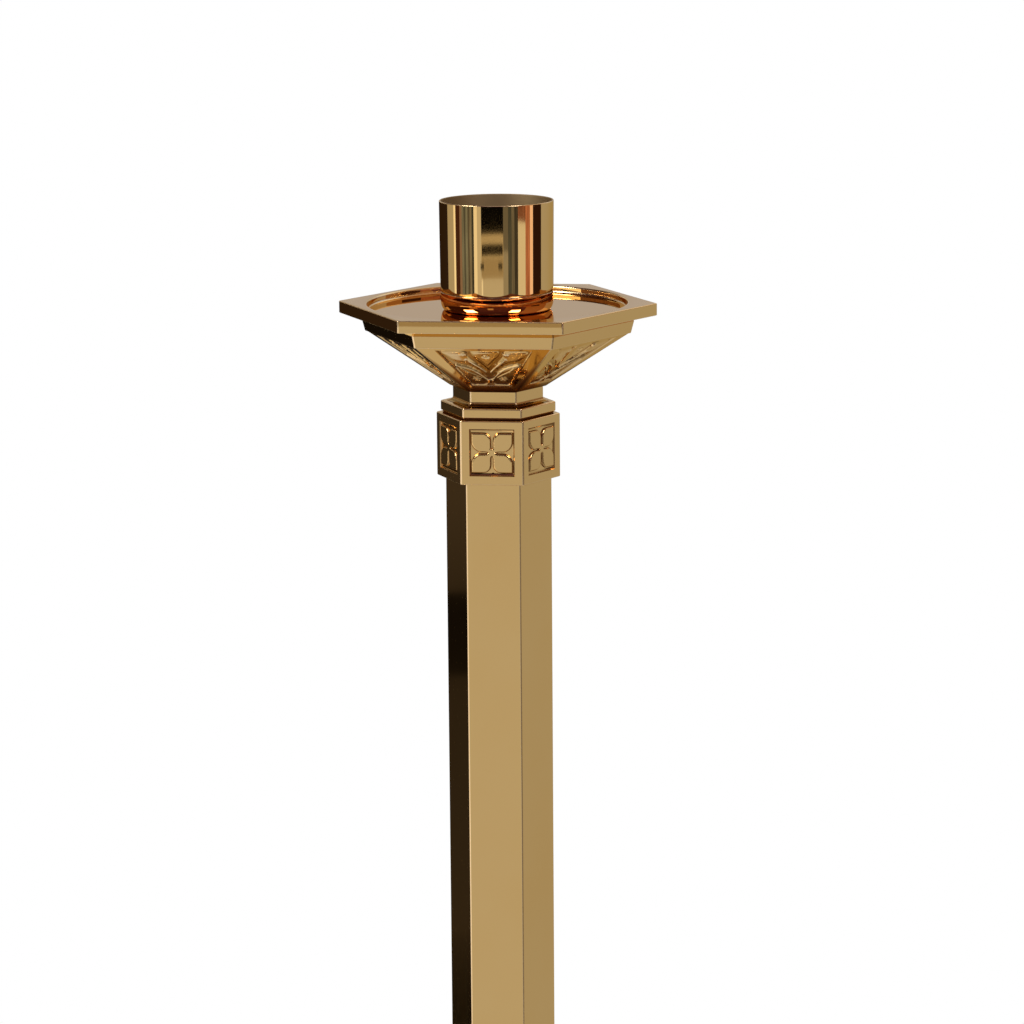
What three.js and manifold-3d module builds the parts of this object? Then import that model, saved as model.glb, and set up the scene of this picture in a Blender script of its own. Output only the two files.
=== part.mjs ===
// Paschal candlestick: a hexagonal brass column on a stepped, weighted base, with a
// flared capital, a drip pan and a round candle socket, all held by one long tie rod.
// Millimetres, +Z up, origin on the floor under the column, flat faces towards -Y and +Y.

import * as THREE from 'three';
import { mergeVertices } from 'three/addons/utils/BufferGeometryUtils.js';
import Module from 'manifold-3d';

const wasm = await Module();
wasm.setup();

// Hexagon sizes are radii to the corners. Every other radius is a round one.

// Clearances and small edges
const seatGap = 0.25; // between two pieces that rest on each other
const slipGap = 0.3; // around a piece that slips into another
const rodGap = 0.5; // around the tie rod in its bores
const edgeBevel = 0.8; // on the edges of the castings
const fineBevel = 0.4; // on the edges of the turned pieces

// Tie rod, nuts and washers
const rodRadius = 6;
const rodPitch = 1.75;
const rodTailLength = 2; // below the bottom nut
const nutCorner = 10.9;
const nutHeight = 10.8;
const washerRadius = 12;
const washerThickness = 2.5;

// Column and the plugs in its ends
const columnCorner = 38.6;
const columnWall = 2;
const columnLength = 827;
const plugHeight = 14;

// Collars, one at each end of the column
const collarStand = 6.4; // corner of the collar outside the column's corner
const collarHeight = 46.5;
const collarShoulder = 6;
const collarBorderSide = 6.3;
const collarBorderNear = 6.8; // border at the shoulder end
const collarBorderFar = 5.5; // border at the column end
const collarRecess = 1.3;
const petalBite = 0.5; // how far the petals run into the panel's floor
const petalBevel = 0.4;

// Cap moulding and neck above the upper collar
const capStep = 3.1; // corner of the cap inside the collar's corner
const capHeight = 7;
const revealHeight = 1.3;
const revealInset = 1.4;
const neckStep = 9; // corner of the neck inside the cap's corner
const neckHeight = 10.6;
const neckCoveRise = 3;
const neckCoveReach = 4;

// Drip pan
const panCorner = 115;
const panThickness = 8.8;
const dishRim = 6.1; // width of the rim at the middle of a flat side
const dishDepth = 5.1;
const panRegisterHeight = 2.5;
const panRegisterWidth = 6;

// Capital: a flare under a plain band, with a leaf panel on each face
const panOverhang = 16.3; // corner of the pan outside the band's corner
const capitalBandTaper = 2.3;
const capitalBandHeight = 12.6;
const capitalShoulder = 1.4; // step from the band in to the flare
const capitalFlareRise = 38.8;
const capitalWall = 4.5;
const capitalFloor = 6;
const capitalPanelRecess = 1.6;
const capitalFootLedge = 2; // corner of the flare's foot outside the neck's corner
const capitalPanelStart = 9; // plain strip at the narrow end
const capitalPanelEnd = 3; // plain strip at the band
const capitalPanelNarrowBorder = 7;
const capitalPanelWideBorder = 11.6;

// Candle socket
const socketTubeRadius = 40.5; // at its foot
const socketTubeFlare = 0.5; // how much wider the mouth is
const socketTubeWall = 1.4;
const socketTubeLength = 64.7;
const socketRingHeight = 13.2; // flush with the tube's foot
const socketFootReach = 3.3; // how far the foot draws in under the ring
const socketFootRise = 7;
const socketSpigotHeight = 4;
const bushRadius = 11;
const bushFlangeRadius = 15;
const bushFlangeHeight = 3;
const bushSink = 0.7; // below the candle's seat
const bushHeight = 14.5;
const threadEngagement = 12.25; // seven turns of the rod's thread
const padWasherRadius = 26;
const padWasherThickness = 1.5;

// Base: plinth, ballast, bottom plate and felt
const feltThickness = 3;
const feltInset = 4;
const feltHoleRadius = 24;
const plinthCorner = 165;
const plinthLowerHeight = 22;
const plinthStep = 12; // corner of the upper band inside the lower one's
const plinthUpperHeight = 10;
const plinthWall = 5;
const plinthDeck = 5;
const plinthOpening = 60;
const plateThickness = 3;
const plateHoleRadius = 20;
const ballastPocketRadius = 18;
const ballastPocketRoof = 6; // iron left above the nut's pocket
const screwCount = 3;
const screwInset = 65; // screw circle inside the plinth's corner
const screwRadius = 3;
const screwHeadRadius = 6;
const screwHeadHeight = 3;
const screwLength = 14;
const screwSocketRadius = 2;
const screwSocketDepth = 1.8;

// Base skirt, neck and moulding: the capital's forms turned over and larger
const skirtStep = 10; // corner of the skirt's band inside the plinth's upper band
const skirtBandTaper = 2.4;
const skirtBandHeight = 12;
const skirtShoulder = 1.6;
const skirtFlareRise = 58;
const skirtWall = 4.5;
const skirtFloor = 6;
const skirtPanelRecess = 2;
const skirtPanelStart = 17;
const skirtPanelEnd = 6;
const skirtPanelNarrowBorder = 9;
const skirtPanelWideBorder = 17;
const baseMouldingStand = 5; // corner of the moulding outside the collar's corner
const baseMouldingHeight = 8.5;
const baseNeckStep = 9;
const baseNeckHeight = 10;
const baseNeckCoveRise = 3.5;
const baseNeckCoveReach = 4.5;

// Relief of the leaf panels
const leafBiteShare = 0.4; // of the recess, run into the panel's floor
const leafBevelShare = 0.35; // of the recess, on the leaves' edges
const leafSink = 0.1; // the leaves lie this much below the panel's border

// How finely round forms are faceted
const largeSides = 72;
const middleSides = 48;
const smallSides = 24;

// Worked out from the sizes above
const sixthTurn = Math.PI / 3;
const halfSixth = Math.PI / 6;
const cornerPerFlat = 1 / Math.cos(halfSixth);
const columnBore = columnCorner - columnWall * cornerPerFlat;
const collarCorner = columnCorner + collarStand;
const capCorner = collarCorner - capStep;
const neckCorner = capCorner - neckStep;
const dishRadius = panCorner / cornerPerFlat - dishRim;
const capitalBandHigh = panCorner - panOverhang;
const capitalBandLow = capitalBandHigh - capitalBandTaper;
const capitalFlareCorner = capitalBandLow - capitalShoulder;
const socketFootRadius = socketTubeRadius - socketFootReach;
const plinthUpperCorner = plinthCorner - plinthStep;
const screwCircle = plinthCorner - screwInset;
const skirtBandHigh = plinthUpperCorner - skirtStep;
const skirtBandLow = skirtBandHigh - skirtBandTaper;
const skirtFlareCorner = skirtBandLow - skirtShoulder;
const baseMouldingCorner = collarCorner + baseMouldingStand;
const baseNeckCorner = baseMouldingCorner - baseNeckStep;
const boreRadius = rodRadius + rodGap;
const cutPast = 1; // how far a cutting solid runs past the face it opens
const weldReach = 1e-4; // points closer than this are one point
const curveSteps = 4; // straight facets in a quarter curve of a profile

// Solids: three.js shapes go in, joined or cut shapes come out
function solidOf(geometry) {
  const bare = geometry.clone();
  bare.deleteAttribute('normal');
  bare.deleteAttribute('uv');
  const welded = mergeVertices(bare, weldReach);
  const index = welded.index.array;
  const triangles = [];
  for (let i = 0; i < index.length; i += 3) {
    const [a, b, c] = [index[i], index[i + 1], index[i + 2]];
    if (a !== b && b !== c && c !== a) triangles.push(a, b, c);
  }
  const vertProperties = new Float32Array(welded.attributes.position.array);
  const triVerts = Uint32Array.from(triangles);
  return new wasm.Manifold(new wasm.Mesh({ numProp: 3, vertProperties, triVerts }));
}

function geometryOf(solid) {
  const mesh = solid.getMesh();
  const geometry = new THREE.BufferGeometry();
  geometry.setAttribute('position', new THREE.BufferAttribute(mesh.vertProperties, 3));
  geometry.setIndex(new THREE.BufferAttribute(mesh.triVerts, 1));
  geometry.computeVertexNormals();
  return geometry;
}

// A profile of [radius, height] points, anticlockwise, swept about Z
function swept(profile, sides, start) {
  const points = profile.map(([radius, height]) => new THREE.Vector2(radius, height));
  const lathe = new THREE.LatheGeometry(points, sides, start, Math.PI * 2);
  lathe.rotateX(Math.PI / 2);
  return solidOf(lathe);
}

function hexagonal(profile) {
  return swept(profile, 6, halfSixth);
}

function turned(profile, sides) {
  return swept(profile, sides, 0);
}

function rod(radius, low, high, sides) {
  return turned([[0, low], [radius, low], [radius, high], [0, high]], sides);
}

function turnedOver(solid, height) {
  const geometry = geometryOf(solid);
  geometry.rotateX(Math.PI);
  geometry.translate(0, 0, height);
  return solidOf(geometry);
}

// A band with bevelled edges, as the outer part of a profile
function bevelledBand(corner, low, high, bevel) {
  const back = bevel * cornerPerFlat;
  return [[corner - back, low], [corner, low + bevel], [corner, high - bevel], [corner - back, high]];
}

// A concave quarter from a wide foot up to a narrower neck
function cove(foot, neck, low, rise) {
  const points = [];
  for (let i = 0; i <= curveSteps; i += 1) {
    const angle = (i / curveSteps) * (Math.PI / 2);
    const radius = neck + (foot - neck) * (1 - Math.sin(angle));
    points.push([radius, low + rise * (1 - Math.cos(angle))]);
  }
  return points;
}

// Relief on a face: u runs along the face, v across it, w out of it
function faceFrame(face, turn) {
  const outward = new THREE.Vector3(0, -1, 0);
  const up = new THREE.Vector3(0, 0, 1);
  const v = outward.clone().multiplyScalar(Math.cos(face.slope));
  v.addScaledVector(up, Math.sin(face.slope));
  const w = outward.clone().multiplyScalar(Math.sin(face.slope));
  w.addScaledVector(up, -Math.cos(face.slope));
  const u = v.clone().cross(w);
  const frame = new THREE.Matrix4().makeBasis(u, v, w);
  frame.setPosition(0, -face.apothem, face.height);
  return new THREE.Matrix4().makeRotationZ(turn).multiply(frame);
}

function reliefSolid(shape, low, high, bevel, frame) {
  const geometry = new THREE.ExtrudeGeometry(shape, {
    depth: high - low - 2 * bevel,
    steps: 1,
    bevelEnabled: bevel > 0,
    bevelThickness: bevel,
    bevelSize: bevel,
    bevelOffset: -bevel,
    bevelSegments: 1,
  });
  geometry.translate(0, 0, low + bevel);
  geometry.applyMatrix4(frame);
  return solidOf(geometry);
}

// Cuts a panel into each of the six faces and sets the panel's relief into it
function carveFaces(body, face, panel, relief) {
  let carved = body;
  for (let side = 0; side < 6; side += 1) {
    const frame = faceFrame(face, side * sixthTurn);
    carved = carved.subtract(reliefSolid(panel.outline, -panel.depth, cutPast, 0, frame));
    for (const shape of relief) {
      const floor = -panel.depth - panel.bite;
      carved = carved.add(reliefSolid(shape, floor, -panel.sink, panel.bevel, frame));
    }
  }
  return carved;
}

function outlineOf(points, place) {
  return new THREE.Shape(points.map(([s, t]) => place(s, t)));
}

// Four petals in a rectangular panel: s and t run from -1 to 1 across the panel
const petalEdge = [
  [0.14, 0.02], [0.33, 0.075], [0.56, 0.03], [0.78, 0.1], [0.88, 0.26],
  [0.88, 0.79], [0.29, 0.79], [0.11, 0.7], [0.03, 0.5], [0.08, 0.28], [0.02, 0.13],
];

function fourPetals(place) {
  const points = [];
  for (const [signS, signT] of [[1, 1], [-1, 1], [-1, -1], [1, -1]]) {
    const petal = petalEdge.map(([s, t]) => [s * signS, t * signT]);
    if (signS * signT < 0) petal.reverse();
    points.push(...petal);
  }
  return [outlineOf(points, place)];
}

// Palmette in a tapered panel: s runs from -1 to 1 across, t from 0 to 1 along it
const centreLobe = [
  [0, 0.35], [0.18, 0.5], [0.29, 0.72], [0.2, 0.92],
  [0, 0.97], [-0.2, 0.92], [-0.29, 0.72], [-0.18, 0.5],
];
const slantLobe = [
  [0.21, 0.34], [0.46, 0.59], [0.6, 0.87], [0.51, 0.92], [0.36, 0.68], [0.13, 0.36],
];
const sideLeaf = [
  [0.15, 0.09], [0.44, 0.03], [0.88, 0.03], [0.91, 0.32], [0.86, 0.56], [0.56, 0.43],
  [0.17, 0.27],
];
const sideLeafHollow = [
  [0.45, 0.1], [0.74, 0.09], [0.77, 0.3], [0.7, 0.41], [0.34, 0.22],
];
const budCentre = [0.59, 0.19];
const budReach = [0.13, 0.045];
const budSides = 6;

function mirroredPoints(points, side) {
  const mirrored = points.map(([s, t]) => [s * side, t]);
  return side < 0 ? mirrored.reverse() : mirrored;
}

function palmette(place) {
  const shapes = [outlineOf(centreLobe, place)];
  for (const side of [1, -1]) {
    shapes.push(outlineOf(mirroredPoints(slantLobe, side), place));
    const leaf = outlineOf(mirroredPoints(sideLeaf, side), place);
    leaf.holes.push(outlineOf(mirroredPoints(sideLeafHollow, side), place));
    shapes.push(leaf);
    const bud = [];
    for (let i = 0; i < budSides; i += 1) {
      const angle = (i / budSides) * Math.PI * 2;
      const s = budCentre[0] + budReach[0] * Math.cos(angle);
      bud.push([s, budCentre[1] + budReach[1] * Math.sin(angle)]);
    }
    shapes.push(outlineOf(mirroredPoints(bud, side), place));
  }
  return shapes;
}

// Flared casting, neck end at z = 0, open at the wide end
function flare(size) {
  const rise = size.flareRise;
  const reach = (size.flareCorner - size.footCorner) / cornerPerFlat;
  const slope = Math.atan2(rise, reach);
  const wallCorner = (size.wall / Math.sin(slope)) * cornerPerFlat;
  const cornerAt = (height) => size.footCorner + ((size.flareCorner - size.footCorner) * height) / rise;
  const bandInner = size.bandLow - size.wall * cornerPerFlat;
  const top = rise + size.bandHeight;
  const back = edgeBevel * cornerPerFlat;
  const shell = hexagonal([
    [0, 0], [size.footCorner, 0], [size.flareCorner, rise],
    [size.bandLow - back, rise], [size.bandLow, rise + edgeBevel],
    [size.bandHigh, top], [bandInner, top], [bandInner, rise],
    [size.flareCorner - wallCorner, rise], [cornerAt(size.floor) - wallCorner, size.floor],
    [0, size.floor],
  ]);
  const bored = shell.subtract(rod(boreRadius, -cutPast, size.floor + cutPast, smallSides));
  const length = Math.hypot(rise, reach);
  const low = size.panelStart;
  const high = length - size.panelEnd;
  const halfFace = (v) => (size.footCorner + ((size.flareCorner - size.footCorner) * v) / length) / 2;
  const halfLow = halfFace(low) - size.narrowBorder;
  const halfHigh = halfFace(high) - size.wideBorder;
  const place = (s, t) => {
    return new THREE.Vector2(s * (halfLow + (halfHigh - halfLow) * t), low + (high - low) * t);
  };
  const panel = {
    outline: outlineOf([[-1, 0], [1, 0], [1, 1], [-1, 1]], place),
    depth: size.recess,
    bite: leafBiteShare * size.recess,
    sink: leafSink,
    bevel: leafBevelShare * size.recess,
  };
  const face = { apothem: size.footCorner / cornerPerFlat, height: 0, slope };
  return carveFaces(bored, face, panel, palmette(place));
}

const capitalSize = {
  footCorner: neckCorner + capitalFootLedge,
  flareCorner: capitalFlareCorner,
  flareRise: capitalFlareRise,
  bandLow: capitalBandLow,
  bandHigh: capitalBandHigh,
  bandHeight: capitalBandHeight,
  wall: capitalWall,
  floor: capitalFloor,
  recess: capitalPanelRecess,
  panelStart: capitalPanelStart,
  panelEnd: capitalPanelEnd,
  narrowBorder: capitalPanelNarrowBorder,
  wideBorder: capitalPanelWideBorder,
};

const skirtSize = {
  footCorner: baseNeckCorner,
  flareCorner: skirtFlareCorner,
  flareRise: skirtFlareRise,
  bandLow: skirtBandLow,
  bandHigh: skirtBandHigh,
  bandHeight: skirtBandHeight,
  wall: skirtWall,
  floor: skirtFloor,
  recess: skirtPanelRecess,
  panelStart: skirtPanelStart,
  panelEnd: skirtPanelEnd,
  narrowBorder: skirtPanelNarrowBorder,
  wideBorder: skirtPanelWideBorder,
};

// Collar with its shoulder at the top, open below for the column
function collar() {
  const bore = columnCorner + slipGap;
  const shell = hexagonal([
    [bore, 0], ...bevelledBand(collarCorner, 0, collarHeight, edgeBevel), [0, collarHeight],
    [0, collarHeight - collarShoulder], [bore, collarHeight - collarShoulder], [bore, 0],
  ]);
  const roof = collarHeight - collarShoulder;
  const bored = shell.subtract(rod(boreRadius, roof - cutPast, collarHeight + cutPast, smallSides));
  const halfWidth = collarCorner / 2 - collarBorderSide;
  const low = collarBorderFar;
  const high = collarHeight - collarBorderNear;
  const place = (s, t) => {
    return new THREE.Vector2(s * halfWidth, (low + high) / 2 + (t * (high - low)) / 2);
  };
  const panel = {
    outline: outlineOf([[-1, -1], [1, -1], [1, 1], [-1, 1]], place),
    depth: collarRecess,
    bite: petalBite,
    sink: 0,
    bevel: petalBevel,
  };
  const face = { apothem: collarCorner / cornerPerFlat, height: 0, slope: Math.PI / 2 };
  return carveFaces(bored, face, panel, fourPetals(place));
}

function boredHexagon(profile, height) {
  return hexagonal(profile).subtract(rod(boreRadius, -cutPast, height + cutPast, smallSides));
}

// Moulding with a plain band over a reveal, reveal end at z = 0
function moulding(corner, height) {
  const total = revealHeight + height;
  const inner = corner - revealInset;
  const band = bevelledBand(corner, revealHeight, total, edgeBevel);
  return boredHexagon([[0, 0], [inner, 0], [inner, revealHeight], ...band, [0, total]], total);
}

// Neck with a coved foot at z = 0
function neck(corner, height, coveRise, coveReach) {
  const foot = cove(corner + coveReach * cornerPerFlat, corner, 0, coveRise);
  return boredHexagon([[0, 0], ...foot, [corner, height], [0, height]], height);
}

function columnTube() {
  return hexagonal([
    [columnBore, 0], [columnCorner, 0], [columnCorner, columnLength],
    [columnBore, columnLength], [columnBore, 0],
  ]);
}

function columnPlug() {
  const corner = columnBore - slipGap;
  return boredHexagon([[0, 0], [corner, 0], [corner, plugHeight], [0, plugHeight]], plugHeight);
}

function dripPan() {
  const blank = hexagonal([
    [0, 0], ...bevelledBand(panCorner, 0, panThickness, edgeBevel), [0, panThickness],
  ]);
  const floor = panThickness - dishDepth;
  const lip = fineBevel;
  const dish = turned([
    [0, floor], [dishRadius, floor], [dishRadius, panThickness - lip],
    [dishRadius + lip + cutPast, panThickness + cutPast], [0, panThickness + cutPast],
  ], largeSides);
  const outer = capitalBandLow - capitalWall * cornerPerFlat - slipGap;
  const inner = outer - panRegisterWidth;
  const overlap = (panThickness - dishDepth) / 2;
  const register = hexagonal([
    [inner, -panRegisterHeight], [outer, -panRegisterHeight], [outer, overlap],
    [inner, overlap], [inner, -panRegisterHeight],
  ]);
  const bore = rod(boreRadius, -cutPast, panThickness + cutPast, smallSides);
  return blank.subtract(dish).add(register).subtract(bore);
}

// Candle socket: base with a rounded foot, tube, tapped bush and pad washer
const socketBaseHeight = socketRingHeight + socketSpigotHeight;
const socketTubeBore = socketTubeRadius - socketTubeWall;
const padPocketDepth = padWasherThickness + seatGap;
const bushTop = socketBaseHeight - bushSink;
const bushBottom = bushTop - bushHeight;

function socketBase() {
  const footPoints = [];
  for (let i = 0; i <= curveSteps; i += 1) {
    const angle = (i / curveSteps) * (Math.PI / 2);
    const radius = socketFootRadius + socketFootReach * Math.sin(angle);
    footPoints.push([radius, socketFootRise * (1 - Math.cos(angle))]);
  }
  const spigot = socketTubeBore - slipGap;
  const shoulder = bushTop - bushFlangeHeight - seatGap;
  return turned([
    [bushRadius + slipGap, padPocketDepth], [padWasherRadius + slipGap, padPocketDepth],
    [padWasherRadius + slipGap, 0], ...footPoints,
    [socketTubeRadius, socketRingHeight - fineBevel], [socketTubeRadius - fineBevel, socketRingHeight],
    [spigot, socketRingHeight], [spigot, socketBaseHeight],
    [bushFlangeRadius + slipGap, socketBaseHeight], [bushFlangeRadius + slipGap, shoulder],
    [bushRadius + slipGap, shoulder], [bushRadius + slipGap, padPocketDepth],
  ], middleSides);
}

function socketTube() {
  const top = socketTubeLength;
  const mouth = socketTubeRadius + socketTubeFlare;
  return turned([
    [socketTubeBore, 0], [socketTubeRadius - fineBevel, 0], [socketTubeRadius, fineBevel],
    [mouth, top - fineBevel], [mouth - fineBevel, top], [mouth - socketTubeWall, top],
    [socketTubeBore, 0],
  ], middleSides);
}

function socketBush() {
  const bore = rodRadius + slipGap;
  const neckTop = bushHeight - bushFlangeHeight;
  return turned([
    [bore, 0], [bushRadius, 0], [bushRadius, neckTop], [bushFlangeRadius, neckTop],
    [bushFlangeRadius, bushHeight], [bore, bushHeight], [bore, 0],
  ], smallSides);
}

function ring(outer, inner, height, sides) {
  return turned([[inner, 0], [outer, 0], [outer, height], [inner, height], [inner, 0]], sides);
}

function nut() {
  const back = fineBevel * cornerPerFlat;
  const blank = hexagonal([
    [0, 0], [nutCorner - back, 0], [nutCorner, fineBevel], [nutCorner, nutHeight - fineBevel],
    [nutCorner - back, nutHeight], [0, nutHeight],
  ]);
  return blank.subtract(rod(rodRadius + slipGap, -cutPast, nutHeight + cutPast, smallSides));
}

function washer() {
  return ring(washerRadius, rodRadius + rodGap, washerThickness, smallSides);
}

// Base: plinth shell, ballast, bottom plate, screws and felt
const plinthInner = plinthCorner - plinthWall * cornerPerFlat;
const plinthUpperInner = plinthUpperCorner - plinthWall * cornerPerFlat;
const plinthHeight = plinthLowerHeight + plinthUpperHeight;
const ballastHeight = plinthHeight - plinthDeck - plateThickness - 2 * seatGap;
const pocketDepth = ballastHeight - ballastPocketRoof;

function plinth() {
  const ledge = plinthLowerHeight - plinthWall;
  const back = edgeBevel * cornerPerFlat;
  return hexagonal([
    [plinthInner, 0], ...bevelledBand(plinthCorner, 0, plinthLowerHeight, edgeBevel),
    [plinthUpperCorner, plinthLowerHeight], [plinthUpperCorner, plinthHeight - edgeBevel],
    [plinthUpperCorner - back, plinthHeight], [plinthOpening, plinthHeight],
    [plinthOpening, plinthHeight - plinthDeck], [plinthUpperInner, plinthHeight - plinthDeck],
    [plinthUpperInner, ledge], [plinthInner, ledge], [plinthInner, 0],
  ]);
}

function screwPlace(i) {
  const angle = Math.PI / 2 + (i / screwCount) * Math.PI * 2;
  return [screwCircle * Math.cos(angle), screwCircle * Math.sin(angle)];
}

function atScrew(solid, i) {
  const [x, y] = screwPlace(i);
  return solidOf(geometryOf(solid).translate(x, y, 0));
}

function bottomPlate() {
  const corner = plinthInner - slipGap;
  let plate = hexagonal([[0, 0], [corner, 0], [corner, plateThickness], [0, plateThickness]]);
  plate = plate.subtract(rod(plateHoleRadius, -cutPast, plateThickness + cutPast, smallSides));
  const spread = (screwHeadRadius - screwRadius) / screwHeadHeight;
  const wide = screwHeadRadius + slipGap + spread * cutPast;
  const narrow = screwRadius + slipGap;
  const seat = turned([
    [0, -cutPast], [wide, -cutPast], [narrow, screwHeadHeight], [narrow, plateThickness + cutPast],
    [0, plateThickness + cutPast],
  ], smallSides);
  for (let i = 0; i < screwCount; i += 1) {
    plate = plate.subtract(atScrew(seat, i));
  }
  return plate;
}

function plateScrew() {
  const body = turned([
    [0, 0], [screwHeadRadius, 0], [screwRadius, screwHeadHeight], [screwRadius, screwLength],
    [0, screwLength],
  ], smallSides);
  const key = hexagonal([
    [0, -cutPast], [screwSocketRadius, -cutPast], [screwSocketRadius, screwSocketDepth],
    [0, screwSocketDepth],
  ]);
  return body.subtract(key);
}

function ballast() {
  const corner = plinthUpperInner - slipGap;
  let weight = hexagonal([[0, 0], [corner, 0], [corner, ballastHeight], [0, ballastHeight]]);
  weight = weight.subtract(rod(ballastPocketRadius, -cutPast, pocketDepth, smallSides));
  weight = weight.subtract(rod(boreRadius, 0, ballastHeight + cutPast, smallSides));
  const screwDepth = screwLength - plateThickness;
  const tapped = rod(screwRadius + slipGap, -cutPast, screwDepth + slipGap, smallSides);
  for (let i = 0; i < screwCount; i += 1) {
    weight = weight.subtract(atScrew(tapped, i));
  }
  return weight;
}

function feltPad() {
  const corner = plinthCorner - feltInset;
  const sheet = hexagonal([[0, 0], [corner, 0], [corner, feltThickness], [0, feltThickness]]);
  return sheet.subtract(rod(feltHoleRadius, -cutPast, feltThickness + cutPast, smallSides));
}

// Heights of the pieces, from the floor up
const plinthLevel = feltThickness + seatGap;
const plateLevel = plinthLevel;
const ballastLevel = plateLevel + plateThickness + seatGap;
const lowerWasherLevel = ballastLevel + pocketDepth - seatGap - washerThickness;
const bottomNutLevel = lowerWasherLevel - seatGap - nutHeight;
const rodLevel = bottomNutLevel - rodTailLength;
const skirtLevel = plinthLevel + plinthHeight + seatGap;
const skirtHeight = skirtFlareRise + skirtBandHeight;
const baseNeckLevel = skirtLevel + skirtHeight + seatGap;
const baseMouldingLevel = baseNeckLevel + baseNeckHeight + seatGap;
const lowerCollarLevel = baseMouldingLevel + baseMouldingHeight + revealHeight + seatGap;
const columnLevel = lowerCollarLevel + collarShoulder + seatGap;
const lowerPlugLevel = columnLevel + seatGap;
const columnTop = columnLevel + columnLength;
const upperPlugLevel = columnTop - seatGap - plugHeight;
const upperCollarLevel = columnTop + seatGap + collarShoulder - collarHeight;
const capLevel = upperCollarLevel + collarHeight + seatGap;
const neckLevel = capLevel + revealHeight + capHeight + seatGap;
const capitalLevel = neckLevel + neckHeight + seatGap;
const upperWasherLevel = capitalLevel + capitalFloor + seatGap;
const columnNutLevel = upperWasherLevel + washerThickness + seatGap;
const panLevel = capitalLevel + capitalFlareRise + capitalBandHeight + seatGap;
const dishFloorLevel = panLevel + panThickness - dishDepth;
const padWasherLevel = dishFloorLevel + seatGap;
const socketLevel = dishFloorLevel + seatGap;
const socketTubeLevel = socketLevel + socketRingHeight + seatGap;
const bushLevel = socketLevel + bushBottom;
const rodTop = bushLevel + threadEngagement;

function tieRod() {
  const length = rodTop - rodLevel;
  return turned([
    [0, 0], [rodRadius - fineBevel, 0], [rodRadius, fineBevel],
    [rodRadius, length - rodPitch / 2], [rodRadius - rodPitch / 2, length], [0, length],
  ], smallSides);
}

// Finishes
const polishedBrass = { color: 0xc79a4b, roughness: 0.16, metalness: 1 };
const castBrass = { color: 0xc0904a, roughness: 0.24, metalness: 1 };
const plainSteel = { color: 0x9a9b9c, roughness: 0.4, metalness: 1 };
const greyIron = { color: 0x4b4a48, roughness: 0.75, metalness: 0.6 };
const greenFelt = { color: 0x28452f, roughness: 1, metalness: 0 };
const brownFibre = { color: 0x5b3a26, roughness: 0.85, metalness: 0 };

const candlestick = new THREE.Group();

function addPiece(name, solid, level, finish) {
  const mesh = new THREE.Mesh(geometryOf(solid), new THREE.MeshStandardMaterial(finish));
  mesh.name = name;
  mesh.position.z = level;
  candlestick.add(mesh);
}

addPiece('felt_pad', feltPad(), 0, greenFelt);
addPiece('bottom_plate', bottomPlate(), plateLevel, plainSteel);
for (let i = 0; i < screwCount; i += 1) {
  addPiece(`plate_screw_${i + 1}`, atScrew(plateScrew(), i), plateLevel, plainSteel);
}
addPiece('ballast_weight', ballast(), ballastLevel, greyIron);
addPiece('base_plinth', plinth(), plinthLevel, castBrass);
addPiece('base_skirt', turnedOver(flare(skirtSize), skirtHeight), skirtLevel, castBrass);
const baseNeck = neck(baseNeckCorner, baseNeckHeight, baseNeckCoveRise, baseNeckCoveReach);
addPiece('base_neck', turnedOver(baseNeck, baseNeckHeight), baseNeckLevel, castBrass);
const baseMoulding = moulding(baseMouldingCorner, baseMouldingHeight);
const baseMouldingTotal = baseMouldingHeight + revealHeight;
addPiece('base_moulding', turnedOver(baseMoulding, baseMouldingTotal), baseMouldingLevel, castBrass);
addPiece('lower_collar', turnedOver(collar(), collarHeight), lowerCollarLevel, castBrass);

addPiece('column_tube', columnTube(), columnLevel, polishedBrass);
addPiece('lower_column_plug', columnPlug(), lowerPlugLevel, castBrass);
addPiece('upper_column_plug', columnPlug(), upperPlugLevel, castBrass);
addPiece('upper_collar', collar(), upperCollarLevel, castBrass);
addPiece('cap_moulding', moulding(capCorner, capHeight), capLevel, castBrass);
addPiece('capital_neck', neck(neckCorner, neckHeight, neckCoveRise, neckCoveReach), neckLevel, castBrass);
addPiece('capital', flare(capitalSize), capitalLevel, castBrass);
addPiece('drip_pan', dripPan(), panLevel, polishedBrass);

addPiece('tie_rod', tieRod(), rodLevel, plainSteel);
addPiece('bottom_nut', nut(), bottomNutLevel, plainSteel);
addPiece('bottom_washer', washer(), lowerWasherLevel, plainSteel);
addPiece('column_washer', washer(), upperWasherLevel, plainSteel);
addPiece('column_nut', nut(), columnNutLevel, plainSteel);

const padWasher = ring(padWasherRadius, rodRadius + rodGap, padWasherThickness, middleSides);
addPiece('socket_washer', padWasher, padWasherLevel, brownFibre);
addPiece('socket_base', socketBase(), socketLevel, polishedBrass);
addPiece('socket_bush', socketBush(), bushLevel, castBrass);
addPiece('socket_tube', socketTube(), socketTubeLevel, polishedBrass);

export default candlestick;
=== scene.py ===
# Paschal candlestick: six-sided brass column, cast collars and capital, drip pan, candle socket.
import math

import bmesh
import bpy
import numpy as np
from mathutils import Matrix, Vector
from mathutils.geometry import delaunay_2d_cdt


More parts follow.
